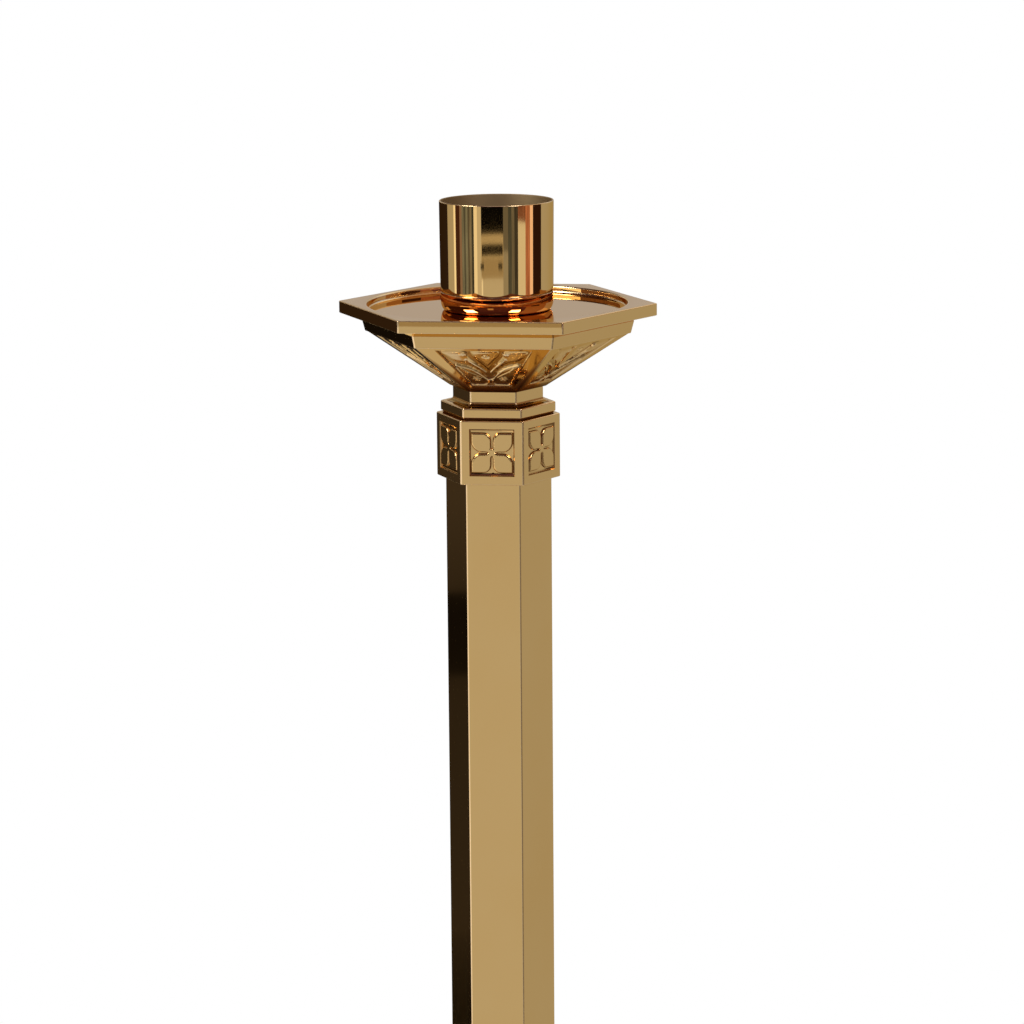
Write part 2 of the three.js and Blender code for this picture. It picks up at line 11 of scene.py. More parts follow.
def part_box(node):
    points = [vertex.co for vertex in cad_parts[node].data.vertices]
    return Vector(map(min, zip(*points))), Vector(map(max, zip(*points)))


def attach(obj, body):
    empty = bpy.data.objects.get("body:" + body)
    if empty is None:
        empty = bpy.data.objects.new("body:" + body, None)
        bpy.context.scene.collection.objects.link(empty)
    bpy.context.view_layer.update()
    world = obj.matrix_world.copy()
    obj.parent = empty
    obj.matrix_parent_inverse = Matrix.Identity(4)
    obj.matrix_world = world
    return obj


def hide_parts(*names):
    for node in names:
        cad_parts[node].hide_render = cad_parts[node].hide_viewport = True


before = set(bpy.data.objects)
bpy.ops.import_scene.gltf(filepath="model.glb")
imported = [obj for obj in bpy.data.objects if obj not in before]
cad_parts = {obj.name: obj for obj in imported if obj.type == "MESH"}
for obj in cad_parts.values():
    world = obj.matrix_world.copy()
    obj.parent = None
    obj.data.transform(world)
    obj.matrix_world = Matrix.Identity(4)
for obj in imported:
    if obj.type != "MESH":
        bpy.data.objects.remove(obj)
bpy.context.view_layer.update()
print("stage 1: frame loaded,", len(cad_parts), "nodes")

mm = 0.001
sixth = math.radians(60)
halfSixth = sixth / 2
flatPerCorner = math.cos(halfSixth)
weldWidth = 0.002  # mm, joins the edges of neighbouring sixths
sharpAngle = math.radians(38)  # edges that turn more stay sharp


# finishes

def join(tree, output, target):
    tree.links.new(output, target)


def setInputs(tree, node, inputs):  # each input is a value or another node's output
    for key, value in inputs.items():
        if isinstance(value, bpy.types.NodeSocket):
            join(tree, value, node.inputs[key])
        else:
            node.inputs[key].default_value = value


def addNode(tree, kind, inputs=None, **options):
    node = tree.nodes.new(kind)
    for key, value in options.items():
        setattr(node, key, value)
    setInputs(tree, node, inputs or {})
    return node


def chain(tree, *nodes):  # the first output of each goes to the first input of the next
    for one, two in zip(nodes, nodes[1:]):
        join(tree, one.outputs[0], two.inputs[0])


def newFinish(name):
    finish = bpy.data.materials.new(name)
    finish.use_nodes = True
    return finish, finish.node_tree, finish.node_tree.nodes["Principled BSDF"]


def objectPlace(tree):
    return addNode(tree, "ShaderNodeTexCoord").outputs["Object"]


def ranged(tree, output, low, high, start, end):  # a value from low..high turned to start..end
    return addNode(tree, "ShaderNodeMapRange", {0: output, 1: low, 2: high, 3: start, 4: end}).outputs[0]


def mixedColour(tree, factor, first, second):  # first and second are colours or outputs
    first, second = ((*value, 1) if isinstance(value, tuple) else value for value in (first, second))
    inputs = {"Factor": factor, 6: first, 7: second}
    return addNode(tree, "ShaderNodeMix", inputs, data_type="RGBA").outputs[2]


def added(tree, first, second, operation="ADD"):
    return addNode(tree, "ShaderNodeMath", {0: first, 1: second}, operation=operation).outputs[0]


def noiseAt(tree, place, scale, detail=2.0, rough=0.5):
    inputs = {"Vector": place, "Scale": scale, "Detail": detail, "Roughness": rough}
    return addNode(tree, "ShaderNodeTexNoise", inputs).outputs["Fac"]


def stretched(tree, place, scale):
    return addNode(tree, "ShaderNodeMapping", {"Vector": place, "Scale": scale}).outputs[0]


def bumped(tree, height, strength, distance, under=None):  # under is the normal of a finer bump
    inputs = {"Height": height, "Strength": strength, "Distance": distance}
    if under:
        inputs["Normal"] = under
    return addNode(tree, "ShaderNodeBump", inputs).outputs[0]


def markOf(tree, name):  # a value that the mesh carries, 0 where it carries none
    return addNode(tree, "ShaderNodeAttribute", attribute_name=name).outputs["Fac"]


def lineField(tree, place, kind, scale):  # fine lines left by the polishing wheel
    if kind == "turned":  # rings about the axis, on walls and on flats
        x, y, z = addNode(tree, "ShaderNodeSeparateXYZ", {0: place}).outputs
        squares = [added(tree, side, side, "MULTIPLY") for side in (x, y)]
        root = added(tree, added(tree, *squares), 0.5, "POWER")
        place = addNode(tree, "ShaderNodeCombineXYZ", {0: root, 2: z}).outputs[0]
        return noiseAt(tree, place, scale, 3.0)
    stretch = {"drawn": (1, 1, 0.01), "cast": (1, 0.35, 0.6)}[kind]
    return noiseAt(tree, stretched(tree, place, stretch), scale, 3.0)


def brassFinish(name, look):
    finish, tree, shader = newFinish(name)
    place = objectPlace(tree)
    cloud = noiseAt(tree, place, look["cloudScale"], 3.0)
    colour = mixedColour(tree, ranged(tree, cloud, 0.3, 0.7, 0, 1), look["colour"], look["warmColour"])
    spots = noiseAt(tree, place, look["spotScale"], 4.0, 0.7)
    roughness = ranged(tree, cloud, 0.3, 0.7, look["roughness"] * 0.8, look["roughness"] * 1.25)

    edge = markOf(tree, "buffedAndHighlight")  # the edges are buffed paler and duller; the paler edge colour is also a painted highlight along arrises, roundings and raised relief
    wornAndHighlight = added(tree, edge, ranged(tree, spots, 0.35, 0.6, 0.55, 1), "MULTIPLY")
    colour = mixedColour(tree, wornAndHighlight, colour, look["edgeColour"])
    roughness = added(tree, roughness, ranged(tree, wornAndHighlight, 0, 1, 0, look["edgeRoughness"]))

    # darker where the surface is hemmed in: partly polish and patina, partly painted shade
    shade = addNode(tree, "ShaderNodeAmbientOcclusion", {"Distance": look["hollowReach"]},
                    samples=6, only_local=True)
    corner = ranged(tree, shade.outputs["AO"], 0.75, 0.25, 0, look["patinaAndShade"])
    mark = markOf(tree, "patinaAndShade")
    patinaAndShade = added(tree, corner, mark, "MAXIMUM")  # polish left in the corners, and painted shade in corners, grooves, coves and steps
    colour = mixedColour(tree, patinaAndShade, colour, look["hollowColour"])
    # marks from 1 to 2 go towards a near black: painted shade in the deepest places
    colour = mixedColour(tree, ranged(tree, mark, 1, 2, 0, 1), colour, look["paintedShadeColour"])
    roughness = added(tree, roughness, ranged(tree, patinaAndShade, 0, 1, 0, look["hollowRoughness"]))

    lines = lineField(tree, place, look["lines"], look["lineScale"])
    fine = bumped(tree, lines, look["lineStrength"], look["lineDepth"])
    wave = noiseAt(tree, place, look["waveScale"], 1.0)
    broad = bumped(tree, wave, look["waveStrength"], look["waveDepth"], fine)
    setInputs(tree, shader, {"Base Color": colour, "Metallic": 1.0, "Roughness": roughness,
                             "Specular Tint": (*look["edgeTint"], 1), "Normal": broad})
    return finish


brassLook = {
    "colour": (0.80, 0.545, 0.235),
    "warmColour": (0.79, 0.525, 0.215),
    # the paler colour of buffed edges, partly a painted highlight; then the colour of patina and painted
    # shade in hollows, and the near black of the deepest painted shade
    "edgeColour": (0.90, 0.69, 0.43),
    "hollowColour": (0.28, 0.135, 0.045),
    "paintedShadeColour": (0.055, 0.016, 0.008),
    "edgeTint": (1.0, 1.0, 1.0),
    "cloudScale": 14.0,
    "spotScale": 420.0,
    "roughness": 0.055,
    "edgeRoughness": 0.12,
    "patinaAndShade": 0.35,
    "hollowReach": 0.003,
    "hollowRoughness": 0.3,
    "lines": "cast",
    "lineScale": 1600.0,
    "lineStrength": 0.05,
    "lineDepth": 0.00002,
    "waveScale": 16.0,
    "waveStrength": 0.05,
    "waveDepth": 0.0008,
}
# the castings get more patina and painted shade in their hollows, in a redder colour
castBrass = brassFinish("castBrass", {**brassLook, "colour": (0.79, 0.53, 0.225), "roughness": 0.075,
                                      "edgeTint": (0.85, 0.68, 0.42), "hollowColour": (0.22, 0.09, 0.032),
                                      "patinaAndShade": 0.6, "waveScale": 40.0, "waveStrength": 0.06})
drawnBrass = brassFinish("drawnBrass", {**brassLook, "lines": "drawn", "waveStrength": 0.035,
                                        "edgeTint": (0.85, 0.68, 0.42)})
turnedLook = {**brassLook, "lines": "turned", "lineScale": 2600.0, "lineStrength": 0.015,
              "roughness": 0.022, "edgeRoughness": 0.25, "edgeTint": (0.85, 0.68, 0.42)}
turnedBrass = brassFinish("turnedBrass", turnedLook)
ringBrass = brassFinish("ringBrass", {**turnedLook, "colour": (0.78, 0.44, 0.26),
                                      "warmColour": (0.77, 0.42, 0.24)})  # the ring looks redder
tubeBrass = brassFinish("tubeBrass", {**turnedLook, "patinaAndShade": 0.0, "hollowColour": (0.36, 0.27, 0.15),
                                      "hollowRoughness": 0.55})  # its inside is left dull, with a darker colour there that is painted shade


def plainMetalFinish(name, look):  # steel and iron
    finish, tree, shader = newFinish(name)
    place = objectPlace(tree)
    grain = noiseAt(tree, place, look["grainScale"], 5.0, 0.65)
    cloud = noiseAt(tree, place, 30.0, 2.0)
    colour = mixedColour(tree, ranged(tree, cloud, 0.3, 0.7, 0, 1), look["colour"], look["otherColour"])
    colour = mixedColour(tree, ranged(tree, grain, 0.62, 0.8, 0, 0.6), colour, look["spotColour"])
    setInputs(tree, shader, {"Base Color": colour, "Metallic": look["metallic"],
                             "Roughness": ranged(tree, grain, 0.3, 0.7, *look["roughness"]),
                             "Normal": bumped(tree, grain, look["bump"], 0.0003)})
    return finish


brightSteel = plainMetalFinish("brightSteel", {
    "metallic": 1.0, "colour": (0.58, 0.57, 0.55), "otherColour": (0.50, 0.49, 0.48),
    "spotColour": (0.33, 0.29, 0.25), "roughness": (0.22, 0.38), "grainScale": 900.0, "bump": 0.12,
})
greyIron = plainMetalFinish("greyIron", {
    "metallic": 0.6, "colour": (0.085, 0.080, 0.076), "otherColour": (0.11, 0.10, 0.094),
    "spotColour": (0.16, 0.09, 0.05), "roughness": (0.6, 0.85), "grainScale": 500.0, "bump": 0.6,
})


def fibreFinish(name, look):  # felt and pressed fibre
    finish, tree, shader = newFinish(name)
    place = objectPlace(tree)
    tufts = noiseAt(tree, stretched(tree, place, (1, 1, look["flatten"])), look["tuftScale"], 6.0, 0.7)
    cloud = noiseAt(tree, place, 45.0, 3.0)
    colour = mixedColour(tree, ranged(tree, tufts, 0.3, 0.7, 0, 1), look["colour"], look["paleColour"])
    colour = mixedColour(tree, ranged(tree, cloud, 0.35, 0.75, 0, 0.5), colour, look["deepColour"])
    setInputs(tree, shader, {"Base Color": colour, "Roughness": look["roughness"],
                             "Sheen Weight": look["sheen"], "Sheen Roughness": 0.5,
                             "Normal": bumped(tree, tufts, 0.7, look["tuftDepth"])})
    return finish


greenFelt = fibreFinish("greenFelt", {
    "colour": (0.018, 0.055, 0.026), "paleColour": (0.04, 0.10, 0.05), "deepColour": (0.012, 0.035, 0.018),
    "tuftScale": 1400.0, "tuftDepth": 0.0006, "flatten": 1.0, "roughness": 0.95, "sheen": 0.5,
})
brownFibre = fibreFinish("brownFibre", {
    "colour": (0.11, 0.045, 0.02), "paleColour": (0.17, 0.075, 0.035), "deepColour": (0.07, 0.03, 0.015),
    "tuftScale": 900.0, "tuftDepth": 0.0001, "flatten": 4.0, "roughness": 0.7, "sheen": 0.1,
})
print("stage 2: finishes made")


# one sixth of a piece from a profile, turned six times by Geometry Nodes

def sixthRing(flat, arris, steps):  # the rounded hexagon's side that faces -Y; arris == flat gives a circle
    core = flat - min(arris, flat)
    half = []
    for i in range(steps + 1):
        turn = halfSixth * i / steps
        reach = flat - core
        # the arris gets the buffed mark, which paints it paler: partly buffing, partly a painted highlight
        buffedAndHighlight = math.sin(math.pi / 2 * min(1, 1.6 * i / steps)) if core > 0 else 0
        side = core * math.tan(halfSixth) + reach * math.sin(turn)
        half.append((side, -core - reach * math.cos(turn), buffedAndHighlight))
    return [(-x, y, buffedAndHighlight) for x, y, buffedAndHighlight in reversed(half)] + half


def roundedProfile(corners, steps=4):  # corners of (flat, height, rounding, arris, mark of patina and painted shade), anticlockwise
    points, lastOf = [], []
    for i, (flat, height, rounding, arris, patinaAndShade) in enumerate(corners):
        here = Vector((flat, height))
        if rounding:
            before = Vector(corners[i - 1][:2]) - here
            after = Vector(corners[(i + 1) % len(corners)][:2]) - here
            halfAngle = before.angle(after) / 2
            back = min(rounding / math.tan(halfAngle), before.length * 0.48, after.length * 0.48)
            start, end = here + before.normalized() * back, here + after.normalized() * back
            for k in range(steps + 1):
                t = k / steps
                spot = start * (1 - t) ** 2 + here * 2 * t * (1 - t) + end * t ** 2
                # each rounding gets the buffed mark: partly buffing, partly a painted highlight along the
                # edge
                buffedAndHighlight = math.sin(math.pi * t)
                points.append((spot.x, spot.y, arris if arris < flat else spot.x, buffedAndHighlight, patinaAndShade))
        else:
            points.append((flat, height, arris, 0, patinaAndShade))
        lastOf.append(len(points) - 1)
    return points, lastOf


def meshFrom(bm, name):
    mesh = bpy.data.meshes.new(name)
    bm.to_mesh(mesh)
    bm.free()
    return mesh


def linked(name, data):
    item = bpy.data.objects.new(name, data)
    bpy.context.scene.collection.objects.link(item)
    return item


def sixthMesh(name, corners, steps, panel=None, panelCorner=None):
    profile, lastOf = roundedProfile(corners)
    bm = bmesh.new()
    # two marks per vertex: buffing with a painted highlight, and patina with painted shade
    marks = {key: bm.verts.layers.float.new(key) for key in ("buffedAndHighlight", "patinaAndShade")}
    rings = []
    for flat, height, arris, buffedAndHighlight, patinaAndShade in profile:
        rings.append([])
        for x, y, onArris in sixthRing(flat, arris, steps):
            rings[-1].append(bm.verts.new((x, y, height)))
            rings[-1][-1][marks["buffedAndHighlight"]] = max(buffedAndHighlight, onArris)
            rings[-1][-1][marks["patinaAndShade"]] = patinaAndShade
    panelRing = None if panelCorner is None else lastOf[panelCorner]
    for i, low in enumerate(rings):
        high = rings[(i + 1) % len(rings)]
        for j in range(len(low) - 1):
            if i == panelRing and j == steps:
                addPanelFace(bm, (low[j], low[j + 1], high[j + 1], high[j]), panel, marks)
            else:
                bm.faces.new((low[j], low[j + 1], high[j + 1], high[j]))
    bmesh.ops.remove_doubles(bm, verts=bm.verts, dist=weldWidth)
    bmesh.ops.dissolve_degenerate(bm, edges=bm.edges, dist=weldWidth)
    bmesh.ops.scale(bm, vec=(mm, mm, mm), verts=bm.verts)
    mesh = meshFrom(bm, name)
    mesh.polygons.foreach_set("use_smooth", [True] * len(mesh.polygons))
    mesh.set_sharp_from_angle(angle=sharpAngle)
    return mesh


def newTree(name, inputs):
    tree = bpy.data.node_groups.new(name, "GeometryNodeTree")
    tree.interface.new_socket("Geometry", in_out="INPUT", socket_type="NodeSocketGeometry")
    for label, kind in inputs:
        tree.interface.new_socket(label, in_out="INPUT", socket_type="NodeSocket" + kind)
    tree.interface.new_socket("Geometry", in_out="OUTPUT", socket_type="NodeSocketGeometry")
    return tree, addNode(tree, "NodeGroupInput").outputs, addNode(tree, "NodeGroupOutput").inputs


def sixTimesTree():
    tree, given, result = newTree("turnedSixTimes", [
        ("Copies", "Int"), ("Turn", "Float"), ("Weld", "Float"), ("Finish", "Material")])
    points = addNode(tree, "GeometryNodePoints", {"Count": given["Copies"]})
    turns = added(tree, addNode(tree, "GeometryNodeInputIndex").outputs[0], given["Turn"], "MULTIPLY")
    angles = addNode(tree, "ShaderNodeCombineXYZ", {2: turns})
    rotation = addNode(tree, "FunctionNodeEulerToRotation", {0: angles.outputs[0]})
    copies = addNode(tree, "GeometryNodeInstanceOnPoints", {
        "Points": points.outputs[0], "Instance": given["Geometry"], "Rotation": rotation.outputs[0]})
    real = addNode(tree, "GeometryNodeRealizeInstances")
    weld = addNode(tree, "GeometryNodeMergeByDistance", {"Distance": given["Weld"]})
    finish = addNode(tree, "GeometryNodeSetMaterial", {"Material": given["Finish"]})
    chain(tree, copies, real, weld, finish)
    join(tree, finish.outputs[0], result["Geometry"])
    return tree


sixTimes = sixTimesTree()


def grown(name, mesh, tree, values):  # runs a node tree on a mesh and keeps the result as a plain mesh
    holder = linked(name, mesh)
    nodes = holder.modifiers.new("nodes", "NODES")
    nodes.node_group = tree
    for item in tree.interface.items_tree:
        if item.in_out == "INPUT" and item.name in values:
            nodes[item.identifier] = values[item.name]
    evenly = holder.modifiers.new("evenNormals", "WEIGHTED_NORMAL")
    evenly.keep_sharp = True
    graph = bpy.context.evaluated_depsgraph_get()
    result = bpy.data.meshes.new_from_object(holder.evaluated_get(graph), preserve_all_data_layers=True,
                                             depsgraph=graph)
    holder.modifiers.clear()
    bpy.data.objects.remove(holder)
    result.name = name
    return result


def turnedSixTimes(name, mesh, finish, weld=weldWidth):
    return grown(name, mesh, sixTimes, {"Copies": 6, "Turn": sixth, "Weld": weld * mm, "Finish": finish})


def addPiece(name, mesh, body, node):
    piece = linked(name, mesh)
    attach(piece, body)
    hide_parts(node)
    return piece


def hexPiece(name, size, finish, body, node, over=None, panel=None, panelCorner=None):
    mesh = sixthMesh(name + "Sixth", size["corners"], size["steps"], panel, panelCorner)
    mesh = turnedSixTimes(name, mesh, finish)
    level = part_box(node)[0].z
    place = Matrix.Translation((0, 0, level - size.get("below", 0) * mm))
    if over:  # turned upside down
        place = place @ Matrix.Translation((0, 0, over * mm)) @ Matrix.Rotation(math.pi, 4, "X")
    mesh.transform(place)
    return addPiece(name, mesh, body, node)


# relief on a face: u along it, v up it, w out of it, all in mm

def smoothed(points, spacing, closed=True, sharp=()):
    points = [np.array(p, float) for p in points]
    count = len(points)
    spots = []
    for i in range(count if closed else count - 1):
        j = (i + 1) % count
        one, two = points[i], points[j]
        before = one if i in sharp or (not closed and i == 0) else points[i - 1]
        after = two if j in sharp or (not closed and j == count - 1) else points[(j + 1) % count]
        steps = max(1, round(np.linalg.norm(two - one) / spacing))
        for t in np.arange(steps) / steps:
            square = 2 * before - 5 * one + 4 * two - after
            cube = 3 * one - before - 3 * two + after
            spots.append(0.5 * (2 * one + (two - before) * t + square * t ** 2 + cube * t ** 3))
    if not closed:
        spots.append(points[-1])
    return np.array(spots)


def segmentReach(spots, starts, ends):  # distance from each spot to each segment, and where along it
    along = ends - starts
    offset = spots[:, None] - starts[None]
    t = np.clip((offset * along).sum(-1) / np.maximum((along ** 2).sum(-1), 1e-12), 0, 1)
    return np.linalg.norm(offset - t[..., None] * along, axis=-1), t


def insideReach(spots, loop):  # distance to a closed outline, positive inside it
    ends = np.roll(loop, -1, 0)
    away = segmentReach(spots, loop, ends)[0].min(1)
    x, y = spots[:, :1], spots[:, 1:]
    rise = ends[:, 1] - loop[:, 1]
    rise = np.where(abs(rise) < 1e-9, 1e-9, rise)
    crossing = ((loop[:, 1] > y) != (ends[:, 1] > y)) & (
        x < (ends[:, 0] - loop[:, 0]) * (y - loop[:, 1]) / rise + loop[:, 0])
    return np.where(crossing.sum(1) % 2 == 1, away, -away)


def shifted(loop, distance, closed=True):  # a line moved to its left
    before, after = np.roll(loop, 1, 0), np.roll(loop, -1, 0)
    if not closed:
        before[0], after[-1] = loop[0], loop[-1]
    along = after - before
    along /= np.maximum(np.linalg.norm(along, axis=1, keepdims=True), 1e-9)
    return loop + distance * np.stack([-along[:, 1], along[:, 0]], 1)


def reliefHeight(spots, panel):
    def ramp(x):
        return np.sin(np.clip(x, 0, 1) * math.pi / 2)

    def dome(x):
        return np.sqrt(np.clip(1 - x ** 2, 0, 1))

    inside = insideReach(spots, panel["outline"])
    height = -panel["depth"] * ramp(inside / panel["wall"])
    for shape in panel["shapes"]:
        floor = -panel["depth"]
        if shape["kind"] == "plate":
            deep = insideReach(spots, shape["line"])
            level = floor + shape["top"] * ramp(deep / shape["edge"])
            level += shape.get("crown", 0) * ramp(deep / shape.get("reach", 1))
            within = deep > 0
        elif shape["kind"] == "pit":
            away = np.linalg.norm(spots - shape["spot"], axis=1) / shape["radius"]
            height -= shape["deep"] * dome(away) * (inside > 0)
            continue
        elif shape["kind"] == "stroke":
            away, t = segmentReach(spots, shape["line"][:-1], shape["line"][1:])
            part = (np.arange(len(shape["line"]) - 1) + t) / (len(shape["line"]) - 1)
            wide = shape["wide"][0] + (shape["wide"][1] - shape["wide"][0]) * part
            near = (away / wide).min(1)
            level = floor + shape["top"] * dome(near)
            within = near < 1
        else:  # bead
            away = np.linalg.norm(spots - shape["spot"], axis=1) / shape["radius"]
            level = floor + shape["base"] + shape["top"] * dome(away)
            within = away < 1
        height = np.where(within & (inside > 0), np.maximum(height, level), height)
    return np.where(inside > 0, height, 0.0)


def reliefLines(panel):  # the lines that the triangles have to follow
    slopeParts = (0, 0.2, 0.4, 0.7, 1.0)
    lines = [(shifted(panel["outline"], panel["wall"] * part), True) for part in slopeParts]
    for shape in panel["shapes"]:
        if shape["kind"] == "plate":
            lines += [(shifted(shape["line"], shape["edge"] * part), True) for part in slopeParts]
        elif shape["kind"] == "stroke":
            lines.append((shape["line"], False))
            for side in (-0.95, -0.6, 0.6, 0.95):
                lines.append((shifted(shape["line"], side * sum(shape["wide"]) / 2, False), False))
        else:
            for part in (0.35, 0.75, 1.0):
                turns = np.linspace(0, 2 * math.pi, 13)[:-1]
                ring = np.stack([np.cos(turns), np.sin(turns)], 1) * shape["radius"] * part
                lines.append((ring + shape["spot"], True))
    return lines


def addPanelFace(bm, corners, panel, marks):
    low, high = corners[0].co.copy(), corners[3].co.copy()
    low.x = high.x = 0
    up = (high - low).normalized()
    out = Vector((1, 0, 0)).cross(up)
    border = np.array([(c.co.x, (c.co - low).dot(up)) for c in corners])
    spots = [tuple(p) for p in border]
    edges = [(0, 1), (1, 2), (2, 3), (3, 0)]
    for line, closed in reliefLines(panel):
        first = len(spots)
        spots += [tuple(p) for p in line]
        count = len(line)
        edges += [(first + i, first + (i + 1) % count) for i in range(count if closed else count - 1)]
    lineSpots = np.array(spots)
    starts, ends = lineSpots[[a for a, b in edges]], lineSpots[[b for a, b in edges]]
    across = np.arange(panel["outline"][:, 0].min(), panel["outline"][:, 0].max(), panel["grid"])
    rowStep = panel["grid"] * 0.866  # rows of even triangles
    along = np.arange(panel["outline"][:, 1].min(), panel["outline"][:, 1].max(), rowStep)
    field = np.array([(x + panel["grid"] / 2 * (k % 2), y) for k, y in enumerate(along) for x in across])
    field = field[insideReach(field, panel["outline"]) > panel["wall"]]
    clear = np.full(len(field), 1e9)
    batch = 200  # edges at a time, to save memory
    for k in range(0, len(starts), batch):
        clear = np.minimum(clear, segmentReach(field, starts[k:k + batch], ends[k:k + batch])[0].min(1))
    field = field[clear > panel["grid"] * 0.4]
    spots += [tuple(p) for p in field]
    flat, _, faces, *_ = delaunay_2d_cdt([Vector(p) for p in spots], edges, [], 0, 1e-4)
    places = np.array([(p.x, p.y) for p in flat])
    heights = reliefHeight(places, panel)
    inside = insideReach(places, panel["outline"]) > 0
    deep = np.clip(-heights / panel["depth"], 0, 1)
    if panel["darkWalls"]:  # darker against the walls, partly polish left there and partly painted shade, and the floor is as bright as the face
        patinaAndShade = np.sin(math.pi * deep)
    else:
        # painted shade: deep grooves, the lower part of the panel and its foot strip are darkened, the
        # grooves partly patina
        patinaAndShade = np.clip((deep - 0.45) / 0.5, 0, 1) * panel["grooves"]
        shade = np.clip((panel["shadeTo"] - places[:, 1]) / panel["shadeTo"], 0, 1) * deep * panel["shade"]
        foot = np.clip((panel["outline"][0, 1] - places[:, 1]) / panel["footStrip"], 0, 1) * 2
        patinaAndShade = np.maximum(patinaAndShade, np.maximum(shade, foot))
    # the raised tops get the buffed mark: a painted highlight, partly buffing
    buffedAndHighlight = np.clip(1 - deep / panel["brightTo"], 0, 1) * inside * panel["bright"]
    made = []
    for i, ((u, v), w) in enumerate(zip(places, heights)):
        spot = low + up * float(v) + out * float(w)
        spot.x += float(u)
        made.append(bm.verts.new(spot))
        made[-1][marks["patinaAndShade"]] = min(2.0, float(patinaAndShade[i]) * panel["dark"])
        made[-1][marks["buffedAndHighlight"]] = float(buffedAndHighlight[i])
    for face in faces:
        bm.faces.new([made[i] for i in face])


def mirroredPair(shape):
    copies = []
    for side in (1, -1):
        copy = dict(shape)
        for key in ("line", "spot"):
            if key in shape:
                copy[key] = np.array(shape[key], float) * (side, 1)
        if side < 0 and shape["kind"] == "plate":
            copy["line"] = copy["line"][::-1]
        copies.append(copy)
    return copies


# four petals on the collars

petalSize = {
    "spacing": 0.4,
    "edge": 1.0,
    "outline": [(0.17, 0.0), (0.3, 0.02), (0.45, 0.02), (0.58, 0.03), (0.68, 0.07), (0.79, 0.15),
                (0.88, 0.27), (0.93, 0.42), (0.93, 0.86), (0.5, 0.86), (0.3, 0.85), (0.2, 0.81),
                (0.12, 0.74), (0.06, 0.66), (0.03, 0.5), (0.03, 0.35), (0.025, 0.22), (0.0, 0.16)],
    "sharp": (0, 8, 17),
}


def petalPanel(size):
    half = size["halfWidth"]
    middle, tall = (size["low"] + size["high"]) / 2, (size["high"] - size["low"]) / 2
    quarters, sharp = [], []
    for signS, signT in ((1, 1), (-1, 1), (-1, -1), (1, -1)):
        quarter = [(s * signS * half, middle + t * signT * tall) for s, t in petalSize["outline"]]
        marks = [i in petalSize["sharp"] for i in range(len(quarter))]
        if signS * signT < 0:
            quarter.reverse()
            marks.reverse()
        for spot, mark in zip(quarter[:-1], marks[:-1]):  # each quarter ends where the next one starts
            sharp += [len(quarters)] if mark else []
            quarters.append(spot)
    line = smoothed(quarters, petalSize["spacing"], True, set(sharp))
    low, high = size["low"], size["high"]
    outline = np.array([(-half, low), (half, low), (half, high), (-half, high)])
    flower = {"kind": "plate", "line": line, "top": size["depth"], "edge": petalSize["edge"]}
    # the walls of the petal recess are darkened, partly patina and partly painted shade
    return {"outline": outline, "depth": size["depth"], "wall": 1.3, "grid": 1.2, "shapes": [flower],
            "darkWalls": True, "dark": 0.9, "brightTo": 0.5, "bright": 0.0}


# palmette on the capital and on the skirt of the base

